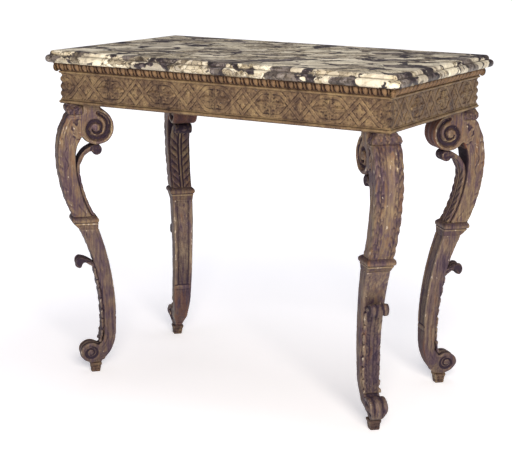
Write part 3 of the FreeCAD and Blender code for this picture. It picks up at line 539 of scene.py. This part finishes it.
def net_of(mesh):
    """Points of a mesh, and the pairs of them that its edges join"""
    points, pairs = np.zeros(len(mesh.vertices) * 3), np.zeros(len(mesh.edges) * 2, int)
    mesh.vertices.foreach_get("co", points)
    mesh.edges.foreach_get("vertices", pairs)
    return points.reshape(-1, 3), pairs.reshape(-1, 2)


def relaxed(values, pairs, rounds, share=0.5):
    """Values at the points of a net, drawn towards their neighbours"""
    values = np.array(values, float)
    count = np.bincount(pairs.ravel(), minlength=len(values))
    count = count.reshape(-1, *[1] * (values.ndim - 1))
    for _ in range(rounds):
        total = np.zeros_like(values)
        np.add.at(total, pairs[:, 0], values[pairs[:, 1]])
        np.add.at(total, pairs[:, 1], values[pairs[:, 0]])
        values += share * np.where(count, total / count.clip(1) - values, 0)
    return values


def mark_relief(mesh, depth, shade):
    """Mark painted shade in the hollows and painted highlight on the edges of a piece,
    from how far it stands out of its own average surface
    """
    points, pairs = net_of(mesh)
    normal = np.zeros(points.size)
    mesh.vertices.foreach_get("normal", normal)
    rise = np.einsum("ij,ij->i", points - relaxed(points, pairs, 4), normal.reshape(-1, 3))
    for mark, values in (("hollow", shade - rise / depth), ("edge", rise / depth - shade)):
        layer = mesh.attributes.new(mark, "FLOAT", "POINT")
        layer.data.foreach_set("value", np.clip(values, 0, 1).astype(np.float32))


egg_pitch, fillet = 0.0217, 0.006
bud_out, bud_size = 0.0072, (0.0082, 0.0082, 0.0108, 1)
for side, (_, _, half, _, _) in SIDES.items():
    eggs = int(round(2 * half / egg_pitch))
    points, faces = run_moulding(half, egg_profile)
    strip = mesh_piece(f"carved_{side}_egg_moulding", points, faces, moulding_gold)
    grown(strip, egg_tree, Eggs=eggs, Pitch=2 * half / eggs, Middle=(0, -0.0088, rail_high - 0.0100),
          Tilt=(math.radians(32), 0, 0), Egg_Size=(0.0064, 0.0043, 0.0098),
          Dart_Size=(0.0026, 0.0042, 0.0098), Finish=moulding_gold)
    strip.data.set_sharp_from_angle(angle=math.radians(60))
    bud = bmesh.new()
    bud.from_mesh(strip.data)
    for end in (-1, 1):
        spot = Matrix.Translation((end * (half + bud_out), -bud_out, rail_high - 0.0112))
        bmesh.ops.create_uvsphere(bud, u_segments=12, v_segments=8, radius=1,
                                  matrix=spot @ Matrix.Diagonal(bud_size))
    for face in bud.faces:
        face.smooth = True
    bud.to_mesh(strip.data)
    bud.free()
    x, y, up = np.array([v.co for v in strip.data.vertices]).T
    over_fillet = up - panel_high - fillet
    # Painted shade under the slab, over the eggs' upper halves, on their flanks and on the ground set back
    # between them; painted highlight along the fillet
    beside = np.abs((x + half) % (2 * half / eggs) - half / eggs)
    behind = 0.0048 + over_fillet * 0.62 + y
    shade = 0.3 * ease(0.0, 0.003, behind) * ease(0, 0.002, over_fillet)
    shade += 0.2 + 0.35 * ease(-0.003, -0.001, up - rail_high) + 0.25 * ease(0.002, 0.005, beside)
    shade += 0.45 * ease(-0.012, -0.005, up - rail_high)
    shade -= 0.7 * ease(0.0026, 0.0018, np.abs(up - panel_high - 0.0035)) * (y < -0.002)
    mark_relief(strip.data, 0.0008, shade)
    strip.data.materials.clear()
    for finish in (moulding_gold, frieze_gold):
        strip.data.materials.append(finish)
    for face in strip.data.polygons:
        face.material_index = int(face.center.z < panel_high + 0.0063)
    strip.data.transform(on_side(side))
    fix(strip, f"{side}_egg_moulding")

# Lower mouldings: a small torus with a quirk above it, run in softwood and gilded like the frieze.
# Each is mitred and planted along the bottom edge of its board, and rubbed bright along its crest, with a
# painted highlight there.
torus_profile = [(0, 0), (0.0012, 0)] + arc((0, 0.0040), 0.0038, -70, 75, 10) + [
    (0.0008, 0.0084), (0.0018, 0.0088), (0.0016, 0.0098), (0, 0.010)]
torus_profile = [(out, rail_low + up) for out, up in torus_profile]
for side, (_, _, half, _, _) in SIDES.items():
    points, faces = run_moulding(half, torus_profile)
    x, y, up = points.T.copy()
    wave = 0.0004 * unevenness(x * 40, half * 90, up * 60)
    points[:, 1] -= wave * (y < -0.0005) * (np.abs(x) < half - 0.003)
    strip = mesh_piece(f"carved_{side}_lower_moulding", points, faces, frieze_gold, crease=45)
    # Painted highlight in broken stretches along the crest; painted shade in the hollows
    rubbed = 0.55 + unevenness(x * 22, half * 7, 1)
    line = ease(0.003, 0.0015, np.abs(up - rail_low - 0.0052))
    mark_relief(strip.data, 0.0006, 0.45 - 1.3 * rubbed * line)
    strip.data.transform(on_side(side))
    fix(strip, f"{side}_lower_moulding")

# Bearers, corner blocks and dowels: plain softwood inside the frame, sawn and never gilded.
# The bearers are let into the long boards, the blocks glued into the corners, and the dowels driven.

# Old pine, sawn: brown with age, with its growth rings as streaks along the length.
# The rings are drawn 5 mm wide, coarser than real ones, so that they show.
pine, put, place = new_finish("aged_sawn_pine")
length = put("Mapping", {"Vector": place, "Scale": (1, 0.08, 1)})
rings = put("TexNoise", {"Vector": length, "Scale": 1 / 0.005, "Detail": 4})
stain = put("TexNoise", {"Vector": place, "Scale": 1 / 0.05, "Detail": 4})
grain = put("ValToRGB", {"Fac": rings}, stops=((0.3, "#4a3322"), (0.5, "#6e5136"), (0.7, "#8a6a47")))
blotches = put("MapRange", {"Value": stain, "From Min": 0.4, "From Max": 0.75, "To Max": 0.7})
aged = put("Mix", {0: blotches, 6: grain, 7: linear("#33261d")}, data_type="RGBA")
saw = put("Bump", {"Height": rings, "Strength": 0.3, "Distance": 0.0008})
shader = put("BsdfPrincipled", {"Base Color": aged, "Roughness": 0.75, "Normal": saw})
put("OutputMaterial", {"Surface": shader})
CORNERS = ("front_right", "front_left", "back_right", "back_left")
for node in ["bearer_right", "bearer_left", "leg_dowels", "collar_dowels"]:
    dress(node, pine)
for corner in CORNERS:
    dress(f"corner_block_{corner}", pine)

# Screws: eight hand-filed screws of wrought iron.
# Two of them are turned through each corner block into the boards beside it.

# Old wrought iron: near black scale with rust in its pits, drawn 2 mm wide so that they show
iron, put, place = new_finish("scaled_wrought_iron")
scale = put("TexNoise", {"Vector": place, "Scale": 1 / 0.002, "Detail": 5})
rust = put("ValToRGB", {"Fac": scale}, stops=((0.35, "#1d1a18"), (0.55, "#2b2725"), (0.72, "#5a3524")))
pits = put("Bump", {"Height": scale, "Strength": 0.4, "Distance": 0.0004})
shader = put("BsdfPrincipled", {"Base Color": rust, "Metallic": 0.8, "Roughness": 0.6, "Normal": pits})
put("OutputMaterial", {"Surface": shader})
dress("corner_screws", iron)

# Upper legs: the upper half of each S, sawn from the plank, carved on its three shown faces and turned over
# into a volute at the top. It is dowelled up into the corner block.

# Bronzed gilding: brown gold in long upright streaks, with purple dirt and painted shade beside the carving
# and pale chips
leg_gold = gilding("bronzed_gilding_on_carved_wood", leaf="#655345", dull="#4d3c44", bole="#613b2d",
                   dirt_and_shade="#281e2b", bright="#8e7d60", wear=0.56, gloss=0.3, streak=0.6, shine=0.45)
ROOT_HALF = math.sqrt(0.5)


def into_leg(points):
    """Table places to leg places in millimetres: out from the frieze corner, across, and up"""
    x, y, z = (np.asarray(points, float) * 1000).T
    x, y = x - 1000 * half_length, y + 1000 * half_width
    return np.stack([(x - y) * ROOT_HALF, (x + y) * ROOT_HALF, z], -1)


def onto_corner(points, corner):
    """Leg places back to the table, at one of its four corners"""
    out, across, up = points.T
    x = 1000 * half_length + (out + across) * ROOT_HALF
    y = -1000 * half_width + (across - out) * ROOT_HALF
    sign_x = -1 if corner.endswith("left") else 1
    sign_y = -1 if corner.startswith("back") else 1
    return np.stack([sign_x * x, sign_y * y, up], -1) / 1000


def facing(points, faces):
    """Outward direction at each point of a net of four-sided faces"""
    quads = np.array(faces)
    cross = np.cross(points[quads[:, 2]] - points[quads[:, 0]], points[quads[:, 3]] - points[quads[:, 1]])
    total = np.zeros_like(points)
    for corner in range(4):
        np.add.at(total, quads[:, corner], cross)
    return total / np.linalg.norm(total, axis=1, keepdims=True).clip(1e-9)


def even_net(points, faces, spacing, rounding):
    """An even net of points over a closed shape, its arrises eased but its flat ends kept"""
    mesh = bpy.data.meshes.new("blank")
    mesh.from_pydata([tuple(p / 1000) for p in points], [], faces)
    blank = into_scene("blank", mesh)
    remesh = blank.modifiers.new("even_net", "REMESH")
    remesh.mode = "VOXEL"
    remesh.voxel_size = spacing / 1000
    net = plain_mesh(blank)
    bpy.data.objects.remove(blank)
    spots, pairs = net_of(net)
    spots = spots * 1000
    quads = [tuple(p.vertices) for p in net.polygons]
    low, high = points[:, 2].min(), points[:, 2].max()
    at_end = (spots[:, 2] < low + spacing * 0.7) | (spots[:, 2] > high - spacing * 0.7)
    flat = at_end & (np.abs(facing(spots, quads)[:, 2]) > 0.9)
    free = pairs[~(flat[pairs[:, 0]] | flat[pairs[:, 1]])]
    eased = relaxed(spots, free, rounding)
    eased[at_end, 2] = spots[at_end, 2]
    return eased, quads, pairs


def from_rim(out, up, rim):
    """Distance of each point, seen from the side, to the nearest point of an outline"""
    tree = KDTree(int(rim.sum()))
    for index in np.flatnonzero(rim):
        tree.insert((out[index], 0, up[index]), int(index))
    tree.balance()
    return np.array([tree.find((x, 0, z))[2] for x, z in zip(out, up)])


def at_corners(name, node, points, faces, finish, marks=None, relief=None):
    """Set a piece of the front right leg, or its mirror image, at every corner"""
    for corner in CORNERS:
        mirrored = corner in ("front_left", "back_right")
        turned = [face[::-1] for face in faces] if mirrored else faces
        piece = mesh_piece(f"{name}_{corner}", onto_corner(points, corner), turned, finish, marks,
                           crease=55 if relief else None)
        if relief:
            mark_relief(piece.data, *relief)
        fix(piece, f"{node}_{corner}")


def carve(node, finish, model, chisel, spacing, rounding, coarse, name=None):
    """Round a solid, model it in the large, cut its ornament, mark painted shade in its hollows
    and painted highlight on its edges, and set it
    """
    solid = bmesh.new()
    solid.from_mesh(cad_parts[f"{node}_front_right"].data)
    bmesh.ops.remove_doubles(solid, verts=solid.verts, dist=1e-6)
    points = into_leg([v.co for v in solid.verts])
    solid.verts.index_update()
    faces = [[v.index for v in face.verts] for face in solid.faces]
    solid.free()
    points, faces, pairs = even_net(points, faces, spacing, rounding)
    points, faces, pairs = even_net(np.stack(model(*points.T), -1), faces, spacing, 2)
    normal = facing(points, faces)
    depth, slide, dirt_and_shade, thin = chisel(*points.T, normal)
    waves = unevenness(*points.T / 14) + 0.5 * unevenness(*points.T / 5)
    shaped = points + normal * (depth + coarse * waves)[:, None]
    shaped[:, 1] += slide
    shaped[:, 2] = np.clip(shaped[:, 2], points[:, 2].min(), points[:, 2].max())
    shaped = relaxed(shaped, pairs, 1, 0.3)
    fine = np.einsum("ij,ij->i", shaped - relaxed(shaped, pairs, 8), facing(shaped, faces))
    wide = relaxed(depth, pairs, 2) - relaxed(depth, pairs, 40)
    rise = relaxed(fine / 0.8 + wide / 3.2, pairs, 1)
    marks = {"hollow": np.clip(dirt_and_shade - rise, 0, 1), "edge": np.clip(rise - dirt_and_shade, 0, 1),
             "thin": np.broadcast_to(thin, len(points))}
    at_corners(name or f"carved_{node}", node, shaped, faces, finish, marks)


# Heights of the leg's joints in millimetres
HEEL, COLLAR_TOP, CAP_FOOT = 24, 403, 651


def leg_breadth(up):
    """Breadth of a leg, from 43 mm at the heel to 66 mm under the cap"""
    return 43 + 23 * (up - HEEL) / (CAP_FOOT - HEEL)


def spiral_channel(out, up, middle, turns, paths, widths):
    """Share of the full depth of a spiral channel that starts at the top and turns inwards"""
    reach = np.hypot(out - middle[0], up - middle[1])
    turn = (np.degrees(np.arctan2(up - middle[1], out - middle[0])) - 80) % 360
    cut = np.zeros(len(out))
    for lap in (0, 360):
        place = turn + lap
        gap = np.abs(reach - np.interp(place, turns, paths)) / np.interp(place, turns, widths)
        ends = ease(0, 30, place) * ease(turns[-1], turns[-1] - 50, place)
        cut = np.maximum(cut, ends * np.clip(1 - gap ** 2, 0, 1))
    return cut, reach


# The volute's middle, then angles along its spiral with the channel's distance and half width at each
COIL = ((-77, 615), (0, 100, 190, 280, 370, 460, 550, 660), (38.5, 28.5, 22, 20.5, 18.5, 12.4, 9.8, 9.4),
        (4.4, 9.0, 8.0, 7.0, 6.2, 5.2, 3.9, 3.2))
HUSK = 24
FORK, SPRIG = (-34, 616), (-44, 592)


def upper_model(out, across, up):
    """A wide hollow spiral round a button on both sides of the volute"""
    half = leg_breadth(up) / 2
    cut, reach = spiral_channel(out, up, *COIL)
    share = ease(36, 33, reach) * (np.abs(across) > half - 13)
    level = np.sign(across) * (half - 9 * cut + 2.2 * dome(reach / 7) - 0.6)
    return out, across + share * (level - across), up


def upper_chisel(out, across, up, normal):
    """Long husks beside a plain channel on the outer face, leafy arrises and veins on the sides"""
    share = np.abs(across) / (leg_breadth(up) / 2)
    front = ease(0.25, 0.6, normal[:, 0])
    flank = ease(0.55, 0.85, np.abs(normal[:, 1]))
    cut, reach = spiral_channel(out, up, *COIL)
    stray = unevenness(up / 26, across / 15, 3)
    depth = 0.5 * hump(share, 0.29, 0.03) - 1.3 * ease(0.28, 0.16, share) + 0.9 * stray
    for place, width, start in ((0.46, 0.16, 0), (0.80, 0.19, 12)):
        row = np.clip(1 - ((share - place) / width) ** 2, 0, 1) * (1 - 0.5 * hump(share, place, 0.035))
        beat = ((up + start + 45 * np.abs(share - place)) / HUSK + 0.5 * stray) % 1
        depth += 1.2 * row * ease(1.0, 0.2, beat) * ease(0, 0.2, beat)
    depth *= front * ease(CAP_FOOT + 1, CAP_FOOT - 9, up)
    rim = (np.abs(normal[:, 1]) < 0.4) & (reach > 36.5) & (share > 0.75) & (normal[:, 2] > -0.8)
    off = from_rim(out, up, rim & (normal[:, 0] > 0.3))
    any_off = from_rim(out, up, rim)
    stem = ease(40, 46, reach)
    beat = ((up + 0.8 * off) / HUSK + 0.5 * stray) % 1
    fringe = ease(13, 7, off) * (1.5 * ease(0, 0.3, beat) * ease(1, 0.6, beat) - 0.5)
    runs = unevenness(any_off / 3.5, up / 36, across / 30) * ease(430, 480, up)
    path = np.where(up > 470, 19 + 4 * np.sin((up - 520) / 48 * 2 * math.pi),
                    26 + 3 * np.sin((up - COLLAR_TOP) / 34 * 2 * math.pi))
    crack = hump(off, path, 1.3) * (ease(514, 522, up) * ease(578, 568, up) + ease(440, 430, up))
    crumb = unevenness(out / 5, across / 9, up / 6)
    sprig = np.maximum.reduce([petal(out - SPRIG[0], up - SPRIG[1], turn, length, 13, 1.9)
                               for turn, length in ((0.62, 36), (1.02, 45), (1.42, 47), (1.8, 30))])
    fork = ease(1.0, 0.75, np.hypot((out - FORK[0]) / 19, (up - FORK[1]) / 29)) * stem
    veins = (fringe * stem + runs - 1.1 * crack) * (1 - fork) * ease(38, 46, reach)
    rim_bead = 0.9 * hump(any_off, 3.0, 1.8) * (1 - stem)
    depth += flank * (veins + fork * (sprig - 0.8 + 0.7 * crumb) + rim_bead)
    flute = np.cos(share * math.pi * 2.5)
    depth += 1.2 * ease(0.3, 0.7, -normal[:, 0]) * ease(55, 50, reach) * flute
    rear = ease(0.2, 0.6, -normal[:, 0])
    # Painted shade, partly dirt, in the volute's channel, in the cracks, between the sprig's leaves, towards
    # the cap, on the sides of the outer face and over the rear faces; painted highlight in dashes down the
    # middle of the outer face and on the flanks and their rim beads
    dirt_and_shade = (0.62 + 0.4 * crumb) * cut ** 3 * (reach < 37) + 0.1 * ease(595, 640, up) * front
    dirt_and_shade += fork * flank * (0.55 * ease(0.5, 0.1, sprig) + 0.3 * crumb) + 0.25 * flank * crack
    dirt_and_shade -= 0.75 * front * ease(0.34, 0.18, share) * ease(648, 620, up)
    dirt_and_shade -= flank * (0.45 * hump(any_off, 3.0, 2.2) * (1 - stem) + 0.28 * stem)
    dash = unevenness(up / 9, across / 30, 8)
    dirt_and_shade -= 1.2 * front * hump(share, 0.5, 0.05) * ease(0.15, 0.3, dash)
    dirt_and_shade += front * (0.12 + ease(0.28, 0.42, share) * (0.2 + 0.25 * stray))
    dirt_and_shade += rear * np.where(reach < 55, 0.3 + 0.2 * flute, 0.75)
    return depth, 0, dirt_and_shade, 0.8 * rear * ease(60, 50, reach) * ease(33, 38, reach)


carve("upper_leg", leg_gold, upper_model, upper_chisel, spacing=1.4, rounding=26, coarse=0.35)

# Inner leaves: a long feathered leaf glued up the inside of each upper leg, its tip rolled over
# to prop the volute. Carved from a thin strip with a rib down its middle, and gilded with the leg.
CURL = (-79.5, 566.5)
CURL_TOP = 576.4


def inner_leaf_model(out, across, up):
    """A tip that ends in a heavy curl, as wide as the leaf"""
    tip = np.clip((-36 - out) / 40, 0, 1) * ease(512, 540, up)
    curl = ease(19, 11, np.hypot(out - CURL[0], up - CURL[1]))
    across = across * (1 - 0.08 * tip)
    out = out + curl * 0.3 * (out - CURL[0])
    up = CURL_TOP - (CURL_TOP - up) * (1 + 0.3 * curl)
    return out, across, up


def inner_leaf_chisel(out, across, up, normal):
    """A thin rib with broad slanting lobes on both sides"""
    side = np.abs(across)
    inside = ease(0.2, 0.6, -normal[:, 0]) + ease(0.6, 0.9, -normal[:, 2])
    rib = 2.0 * ease(3.0, 1.4, side) - 1.2 * hump(side, 4.4, 1.2)
    lobe = ((up + out * 0.25 - 0.9 * side) / 20) % 1
    barb = 1.5 * ease(0, 0.22, lobe) * ease(1, 0.4, lobe) * ease(4.5, 8, side)
    scallop = 0.5 * np.cos(lobe * 2 * math.pi) * ease(17, 23, side)
    curl = ease(22, 14, np.hypot(out + 80, up - 563))
    depth = np.clip(inside, 0, 1) * (rib + barb - 1.0) * (1 - curl) + curl * 0.25 * np.cos(side * 0.45)
    slide = -np.sign(across) * (1.0 + scallop) * ease(16, 23, side) * (1 - curl)
    crumb = unevenness(out / 6, across / 6, up / 6)
    # Painted shade, partly dirt, over the curl and on the side turned towards the leg
    dirt_and_shade = 0.3 + (0.4 + 0.7 * crumb) * curl + 0.5 * ease(0.3, 0.7, normal[:, 0])
    return depth, slide, dirt_and_shade, 0


carve("inner_leaf", leg_gold, inner_leaf_model, inner_leaf_chisel, spacing=1.2, rounding=3, coarse=0.2)


# Leg caps and collars: moulded blocks at the head and the middle of each leg, worked with planes on three
# or four sides and glued in the joint. A bright line of leaf is left on the collar's edge, with a painted
# highlight along it.
def moulded_block(back, front, breadth, profile, rounds, swell):
    """Rings of points in leg places; the profile gives (up, front, side and back inset) from the foot up"""
    levels = np.arange(profile[0][0], profile[-1][0] + 0.01, 0.75)
    insets = [np.interp(levels, [p[0] for p in profile], [p[k] for p in profile]) for k in (1, 2, 3)]
    count = int((front - back + breadth) * 2 / 1.5)
    rings = []
    for height, front_in, side_in, back_in in zip(levels, *insets):
        far, near, half = front - front_in, back + back_in, breadth / 2 - side_in
        path = []
        for x, y, start, turn in ((far, -half, -90, rounds[0]), (far, half, 0, rounds[0]),
                                  (near, half, 90, rounds[1]), (near, -half, 180, rounds[1])):
            centre = (x - turn if x == far else x + turn, y - math.copysign(turn, y))
            path += arc(centre, turn, start, start + 90, 5)
        path = np.array(path + path[:1])
        run = np.concatenate([[0], np.cumsum(np.hypot(*np.diff(path, axis=0).T))])
        where = np.linspace(0, run[-1], count, endpoint=False)
        ring = np.stack([np.interp(where, run, path[:, 0]), np.interp(where, run, path[:, 1])], -1)
        away = ring - np.array([(far + near) / 2, 0])
        push = swell(ring[:, 0], ring[:, 1], height)
        ring = ring + away / np.linalg.norm(away, axis=1, keepdims=True) * push[:, None]
        rings.append(np.column_stack([ring, np.full(count, height)]))
    faces = [face[:1] + face[:0:-1] for face in skin(len(rings), count)]
    return np.concatenate(rings), faces


CAP_BACK = -45
cap_profile = [(CAP_FOOT, 6, 2.4, 0), (654, 3.6, 1.8, 0), (658, 1.6, 2, 0), (662, 0.6, 3.2, 0),
               (666, 0.8, 5.4, 0), (669, 2, 8, 0), (671.5, 3.6, 10.5, 0), (673, 4.2, 12, 0),
               (675, 4.2, 13, 0)]


def cap_leaves(out, across, up):
    """A row of small upright leaves round the cap"""
    stray = unevenness(out / 6, across / 6, up / 5)
    beat = np.abs(np.cos((across + out + 3 * stray) * math.pi / 14 + up / 9))
    worked = ease(CAP_FOOT, CAP_FOOT + 3, up) * ease(674, 669, up) * ease(CAP_BACK + 0.5, CAP_BACK + 5, out)
    return (1.3 * beat + 1.5 * stray - 1.5) * worked


points, faces = moulded_block(back=CAP_BACK, front=-6, breadth=71, profile=cap_profile, rounds=(4, 0.3),
                              swell=cap_leaves)
# Painted shade between the cap's small leaves, painted highlight on their heights
at_corners("carved_leg_cap", "leg_cap", points, faces, leg_gold, relief=(0.0009, 0.3))

COLLAR_FOOT = 370
collar_bead, collar_quirk, collar_roll = 384, 386.6, 391.5
collar_profile = [(COLLAR_FOOT, 20, 6.2, 1.2), (376, 13, 5.6, 1), (381, 8.5, 5.0, 1), (382, 6.6, 4.4, 1),
                  (384, 5.0, 3.6, 0.8), (385.5, 5.8, 4.2, 1), (386.5, 6.6, 4.8, 1.6), (387.3, 3.4, 2.8, 1.2),
                  (388.5, 1.5, 1.3, 0.6), (390, 0.5, 0.4, 0.2), (392, 0, 0, 0), (394.5, 0.2, 0.1, 0.2),
                  (397, 0.9, 0.8, 1), (399, 2.0, 2.0, 2.6), (401, 3.6, 4.0, 5.2),
                  (COLLAR_TOP, 5.4, 6.4, 9.4)]


def collar_wear(out, across, up):
    """Small dents along the collar"""
    return 0.6 * unevenness(out / 9, across / 9, up / 7) - 0.25


points, faces = moulded_block(back=-82, front=-16.5, breadth=68, profile=collar_profile, rounds=(5, 4),
                              swell=collar_wear)
up = points[:, 2]
# Painted shade on the top slope and in the quirk; painted highlights on the bead and the roll
shade = 0.2 + 0.25 * ease(393, 398, up) + 0.6 * ease(1.6, 0.6, np.abs(up - collar_quirk))
shade -= 1.1 * ease(2.4, 1.4, np.abs(up - collar_bead)) + 0.4 * ease(2.5, 1, np.abs(up - collar_roll))
at_corners("carved_leg_collar", "leg_collar", points, faces, leg_gold, relief=(0.0006, shade))

# Lower legs: the lower half of each S, carved like the upper one, with a sunk panel inside, a crossbar above
# the heel and a small scroll turned out over the foot. A slanted dowel ties it through the collar.

# Gilding greyed near the floor: the same worn leaf, duller where feet, brooms and damp have reached it
low_gold = gilding("greyed_gilding_on_carved_wood", leaf="#64544a", dull="#4c3d46", bole="#5d3c33",
                   dirt_and_shade="#281f2c", bright="#8c7d68", wear=0.56, gloss=0.3, streak=0.6, shine=0.45)
SCROLL = ((-62, 52), (0, 90, 180, 270, 360, 450, 540, 620), (17, 15, 13.8, 13, 11.5, 8, 6.3, 6),
          (3.2, 4.8, 5, 5, 4.6, 3.7, 2.9, 2.4))
PANEL_FOOT, CROSSBAR = 146, 141


def lean_at(up):
    """How far a lower leg leans to one side, from none at the collar to 14 mm at the floor"""
    return 14 * (COLLAR_FOOT - up) / COLLAR_FOOT


def lower_model(out, across, up):
    """A hollow spiral on both sides of the scroll, and a heel that narrows towards the foot"""
    half, lean = leg_breadth(up) / 2, lean_at(up)
    side = across - lean
    cut, reach = spiral_channel(out, up, *SCROLL)
    share = ease(22.5, 20, reach) * (np.abs(side) > half - 9)
    side = side + share * (np.sign(side) * (half - 5 * cut + 1.8 * dome(reach / 4.2) - 0.5) - side)
    side = side * (1 - 0.16 * ease(120, 60, up) * ease(-60, -90, out) - 0.4 * ease(60, 28, up))
    return out, lean + side, up


def lower_chisel(out, across, up, normal):
    """Sunk panel between raised borders inside, leafy arrises outside, lobes on the scroll"""
    share = np.abs(across - lean_at(up)) / (leg_breadth(up) / 2)
    front = ease(0.3, 0.65, normal[:, 0])
    back = ease(0.35, 0.7, -normal[:, 0])
    flank = ease(0.55, 0.85, np.abs(normal[:, 1]))
    cut, reach = spiral_channel(out, up, *SCROLL)
    on_panel = ease(PANEL_FOOT, PANEL_FOOT + 4, up)
    panel = -1.5 * ease(0.7, 0.55, share) + 0.9 * hump(share, 0.85, 0.1)
    bar = 0.8 * ease(4.5, 2.5, np.abs(up - CROSSBAR)) - 0.9 * hump(up, CROSSBAR + 7, 1.6)
    depth = back * (panel * on_panel + bar + 1.4 * ease(3.2, 1.8, np.abs(up - 33)))
    stem = ease(27, 33, reach)
    stray = unevenness(up / 22, across / 12, 9)
    beat = ((up + 30 * np.abs(share - 0.75)) / 18 + 0.5 * stray) % 1
    row = np.clip(1 - ((share - 0.76) / 0.2) ** 2, 0, 1)
    leaves = 0.9 * stray + row * ease(1, 0.2, beat) * ease(0, 0.2, beat)
    shell = (1 - stem) * (1 - flank) * ease(30, 40, up)
    lobe = np.cos(share * math.pi * 2.2)
    depth += front * stem * leaves + shell * (0.85 * lobe + 0.7 * stray)
    rim = (np.abs(normal[:, 1]) < 0.4) & (reach > 23) & (share > 0.75) & (normal[:, 2] < 0.8)
    off = from_rim(out, up, rim)
    runs = unevenness(off / 4, up / 38, across / 30 + 7)
    flute = 0.9 * hump(off, 14, 3.5) - 0.8 * hump(off, 7.5, 1.6)
    rim_bead = 0.7 * hump(off, 2.6, 1.6) * (1 - stem)
    depth += flank * ((0.8 * runs + 0.35 * flute * ease(60, 90, up)) * stem + rim_bead)
    # Painted shade, partly dirt, in the scroll's channel, the sunk panel, over the scroll and on the outer
    # face below the collar; painted highlight on the shell's lobes and along the panel's borders; and darker
    # towards the foot
    dirt_and_shade = cut ** 2 * (reach < 23) + 0.1 * back * ease(0.7, 0.55, share) * on_panel
    dirt_and_shade += 0.25 * ease(330, 150, up) * (1 - 0.6 * flank) + 0.15 * (1 - stem)
    dirt_and_shade += 0.3 * front * stem * ease(300, 270, up) - shell * (0.25 + 0.2 * lobe)
    dirt_and_shade -= 0.7 * back * hump(share, 0.9, 0.1) * ease(150, 210, up) * ease(350, 310, up)
    return depth, 0, dirt_and_shade, 0.45 * back * ease(160, 110, up)


carve("lower_leg", low_gold, lower_model, lower_chisel, spacing=1.4, rounding=22, coarse=0.35)

# Outer leaves: an acanthus leaf glued down the outside of each lower leg, lobed along both edges,
# its tip bent out and over as a spur with three lobes. Carved from a thin strip and gilded with the leg.
SPUR_FOOT = 262


def outer_leaf_model(out, across, up):
    """A leaf that fans out at the spur and runs down on to the scroll"""
    foot = np.clip((132 - up) / 32, 0, 1)
    slip, sink = 20 * foot, 6.5 * foot ** 2
    spur = ease(-60, -48, out) * ease(SPUR_FOOT, SPUR_FOOT + 6, up)
    side = (across - lean_at(up)) * (1 + 0.08 * spur)
    drop = spur * 5 * (np.abs(side) < 7) * ease(-40, -28, out)
    return out + sink, side + lean_at(up - slip), up - slip - drop


def outer_leaf_chisel(out, across, up, normal):
    """A veined leaf with thick hooked lobes"""
    side = np.abs(across - lean_at(up))
    outside = ease(0.0, 0.5, normal[:, 0])
    spur = ease(SPUR_FOOT, SPUR_FOOT + 8, up) * ease(-54, -49, out)
    stray = unevenness(up / 20, across / 10, 5)
    beat = ((up - 0.8 * side) / 25 + 0.45 * stray) % 1
    crumb = unevenness(out / 9, across / 4, up / 5)
    lobe = 1.7 * ease(0, 0.7, beat) * ease(1, 0.84, beat) * ease(11, 17, side) + 1.4 + 0.7 * stray
    vein = 0.3 * ease(4, 1.6, side) - 0.25 * hump(side, 5, 1.6)
    barb = -0.4 * hump(beat, 0.45, 0.12) * ease(4, 8, side) + 0.6 * crumb
    notch = ease(0.25, 0.0, beat) + ease(0.85, 1.0, beat)
    slide = -np.sign(across - lean_at(up)) * ease(10, 20, side) * (0.2 + 2.6 * notch) * (1 - spur)
    ball = 1.2 * hump(side, 0, 5.0) + 1.2 * hump(side, 14, 4.2) - 0.4 - hump(side, 8, 1.8)
    depth = outside * (1 - spur) * (lobe + vein + barb) + spur * ball
    # Painted shade, partly dirt, over the whole leaf, more on the spur and on the leaf's sides
    dirt_and_shade = 0.38 + 0.2 * spur + 0.5 * crumb * (1 - spur) + 0.2 * ease(0.5, 0.8, np.abs(normal[:, 1]))
    return depth, slide, dirt_and_shade, 0


carve("outer_leaf", low_gold, outer_leaf_model, outer_leaf_chisel, spacing=1.2, rounding=3, coarse=0.25)

# Feet: short tapered pegs of the leg's own wood, glued under the heel of each leg.
# Once gilded, they are knocked and worn down to the gesso and the wood.

# Worn gilding over bare wood: mostly brown, with pale chips along the arrises
foot_gold = gilding("knocked_gilding_on_bare_wood", leaf="#59463b", dull="#423331", bole="#523329",
                    dirt_and_shade="#1f171c", bright="#968667", wear=0.56, gloss=0.25, streak=0.3, shine=0.6)
PEG_OUT, PEG_ACROSS = -74.5, 13.5


def foot_model(out, across, up):
    """A peg that flares a little to the leg above it"""
    flare = 1 + 0.16 * ease(9, HEEL, up)
    return PEG_OUT + (out - PEG_OUT) * flare, PEG_ACROSS + (across - PEG_ACROSS) * flare, up


def foot_chisel(out, across, up, normal):
    """Small knocks, and two faint turned bands"""
    knocks = unevenness(out / 7, across / 7, up / 7)
    bands = 0.25 * np.cos((up - 3) / 8 * 2 * math.pi)
    # Painted shade in the grooves between the turned bands and painted highlight on their ridges
    return np.where(np.abs(normal[:, 2]) > 0.7, 0, 0.9 * knocks - 0.2 + bands), 0, 0.1 - 0.3 * bands, 0


carve("foot", foot_gold, foot_model, foot_chisel, spacing=1.2, rounding=8, coarse=0.2, name="worn_foot")
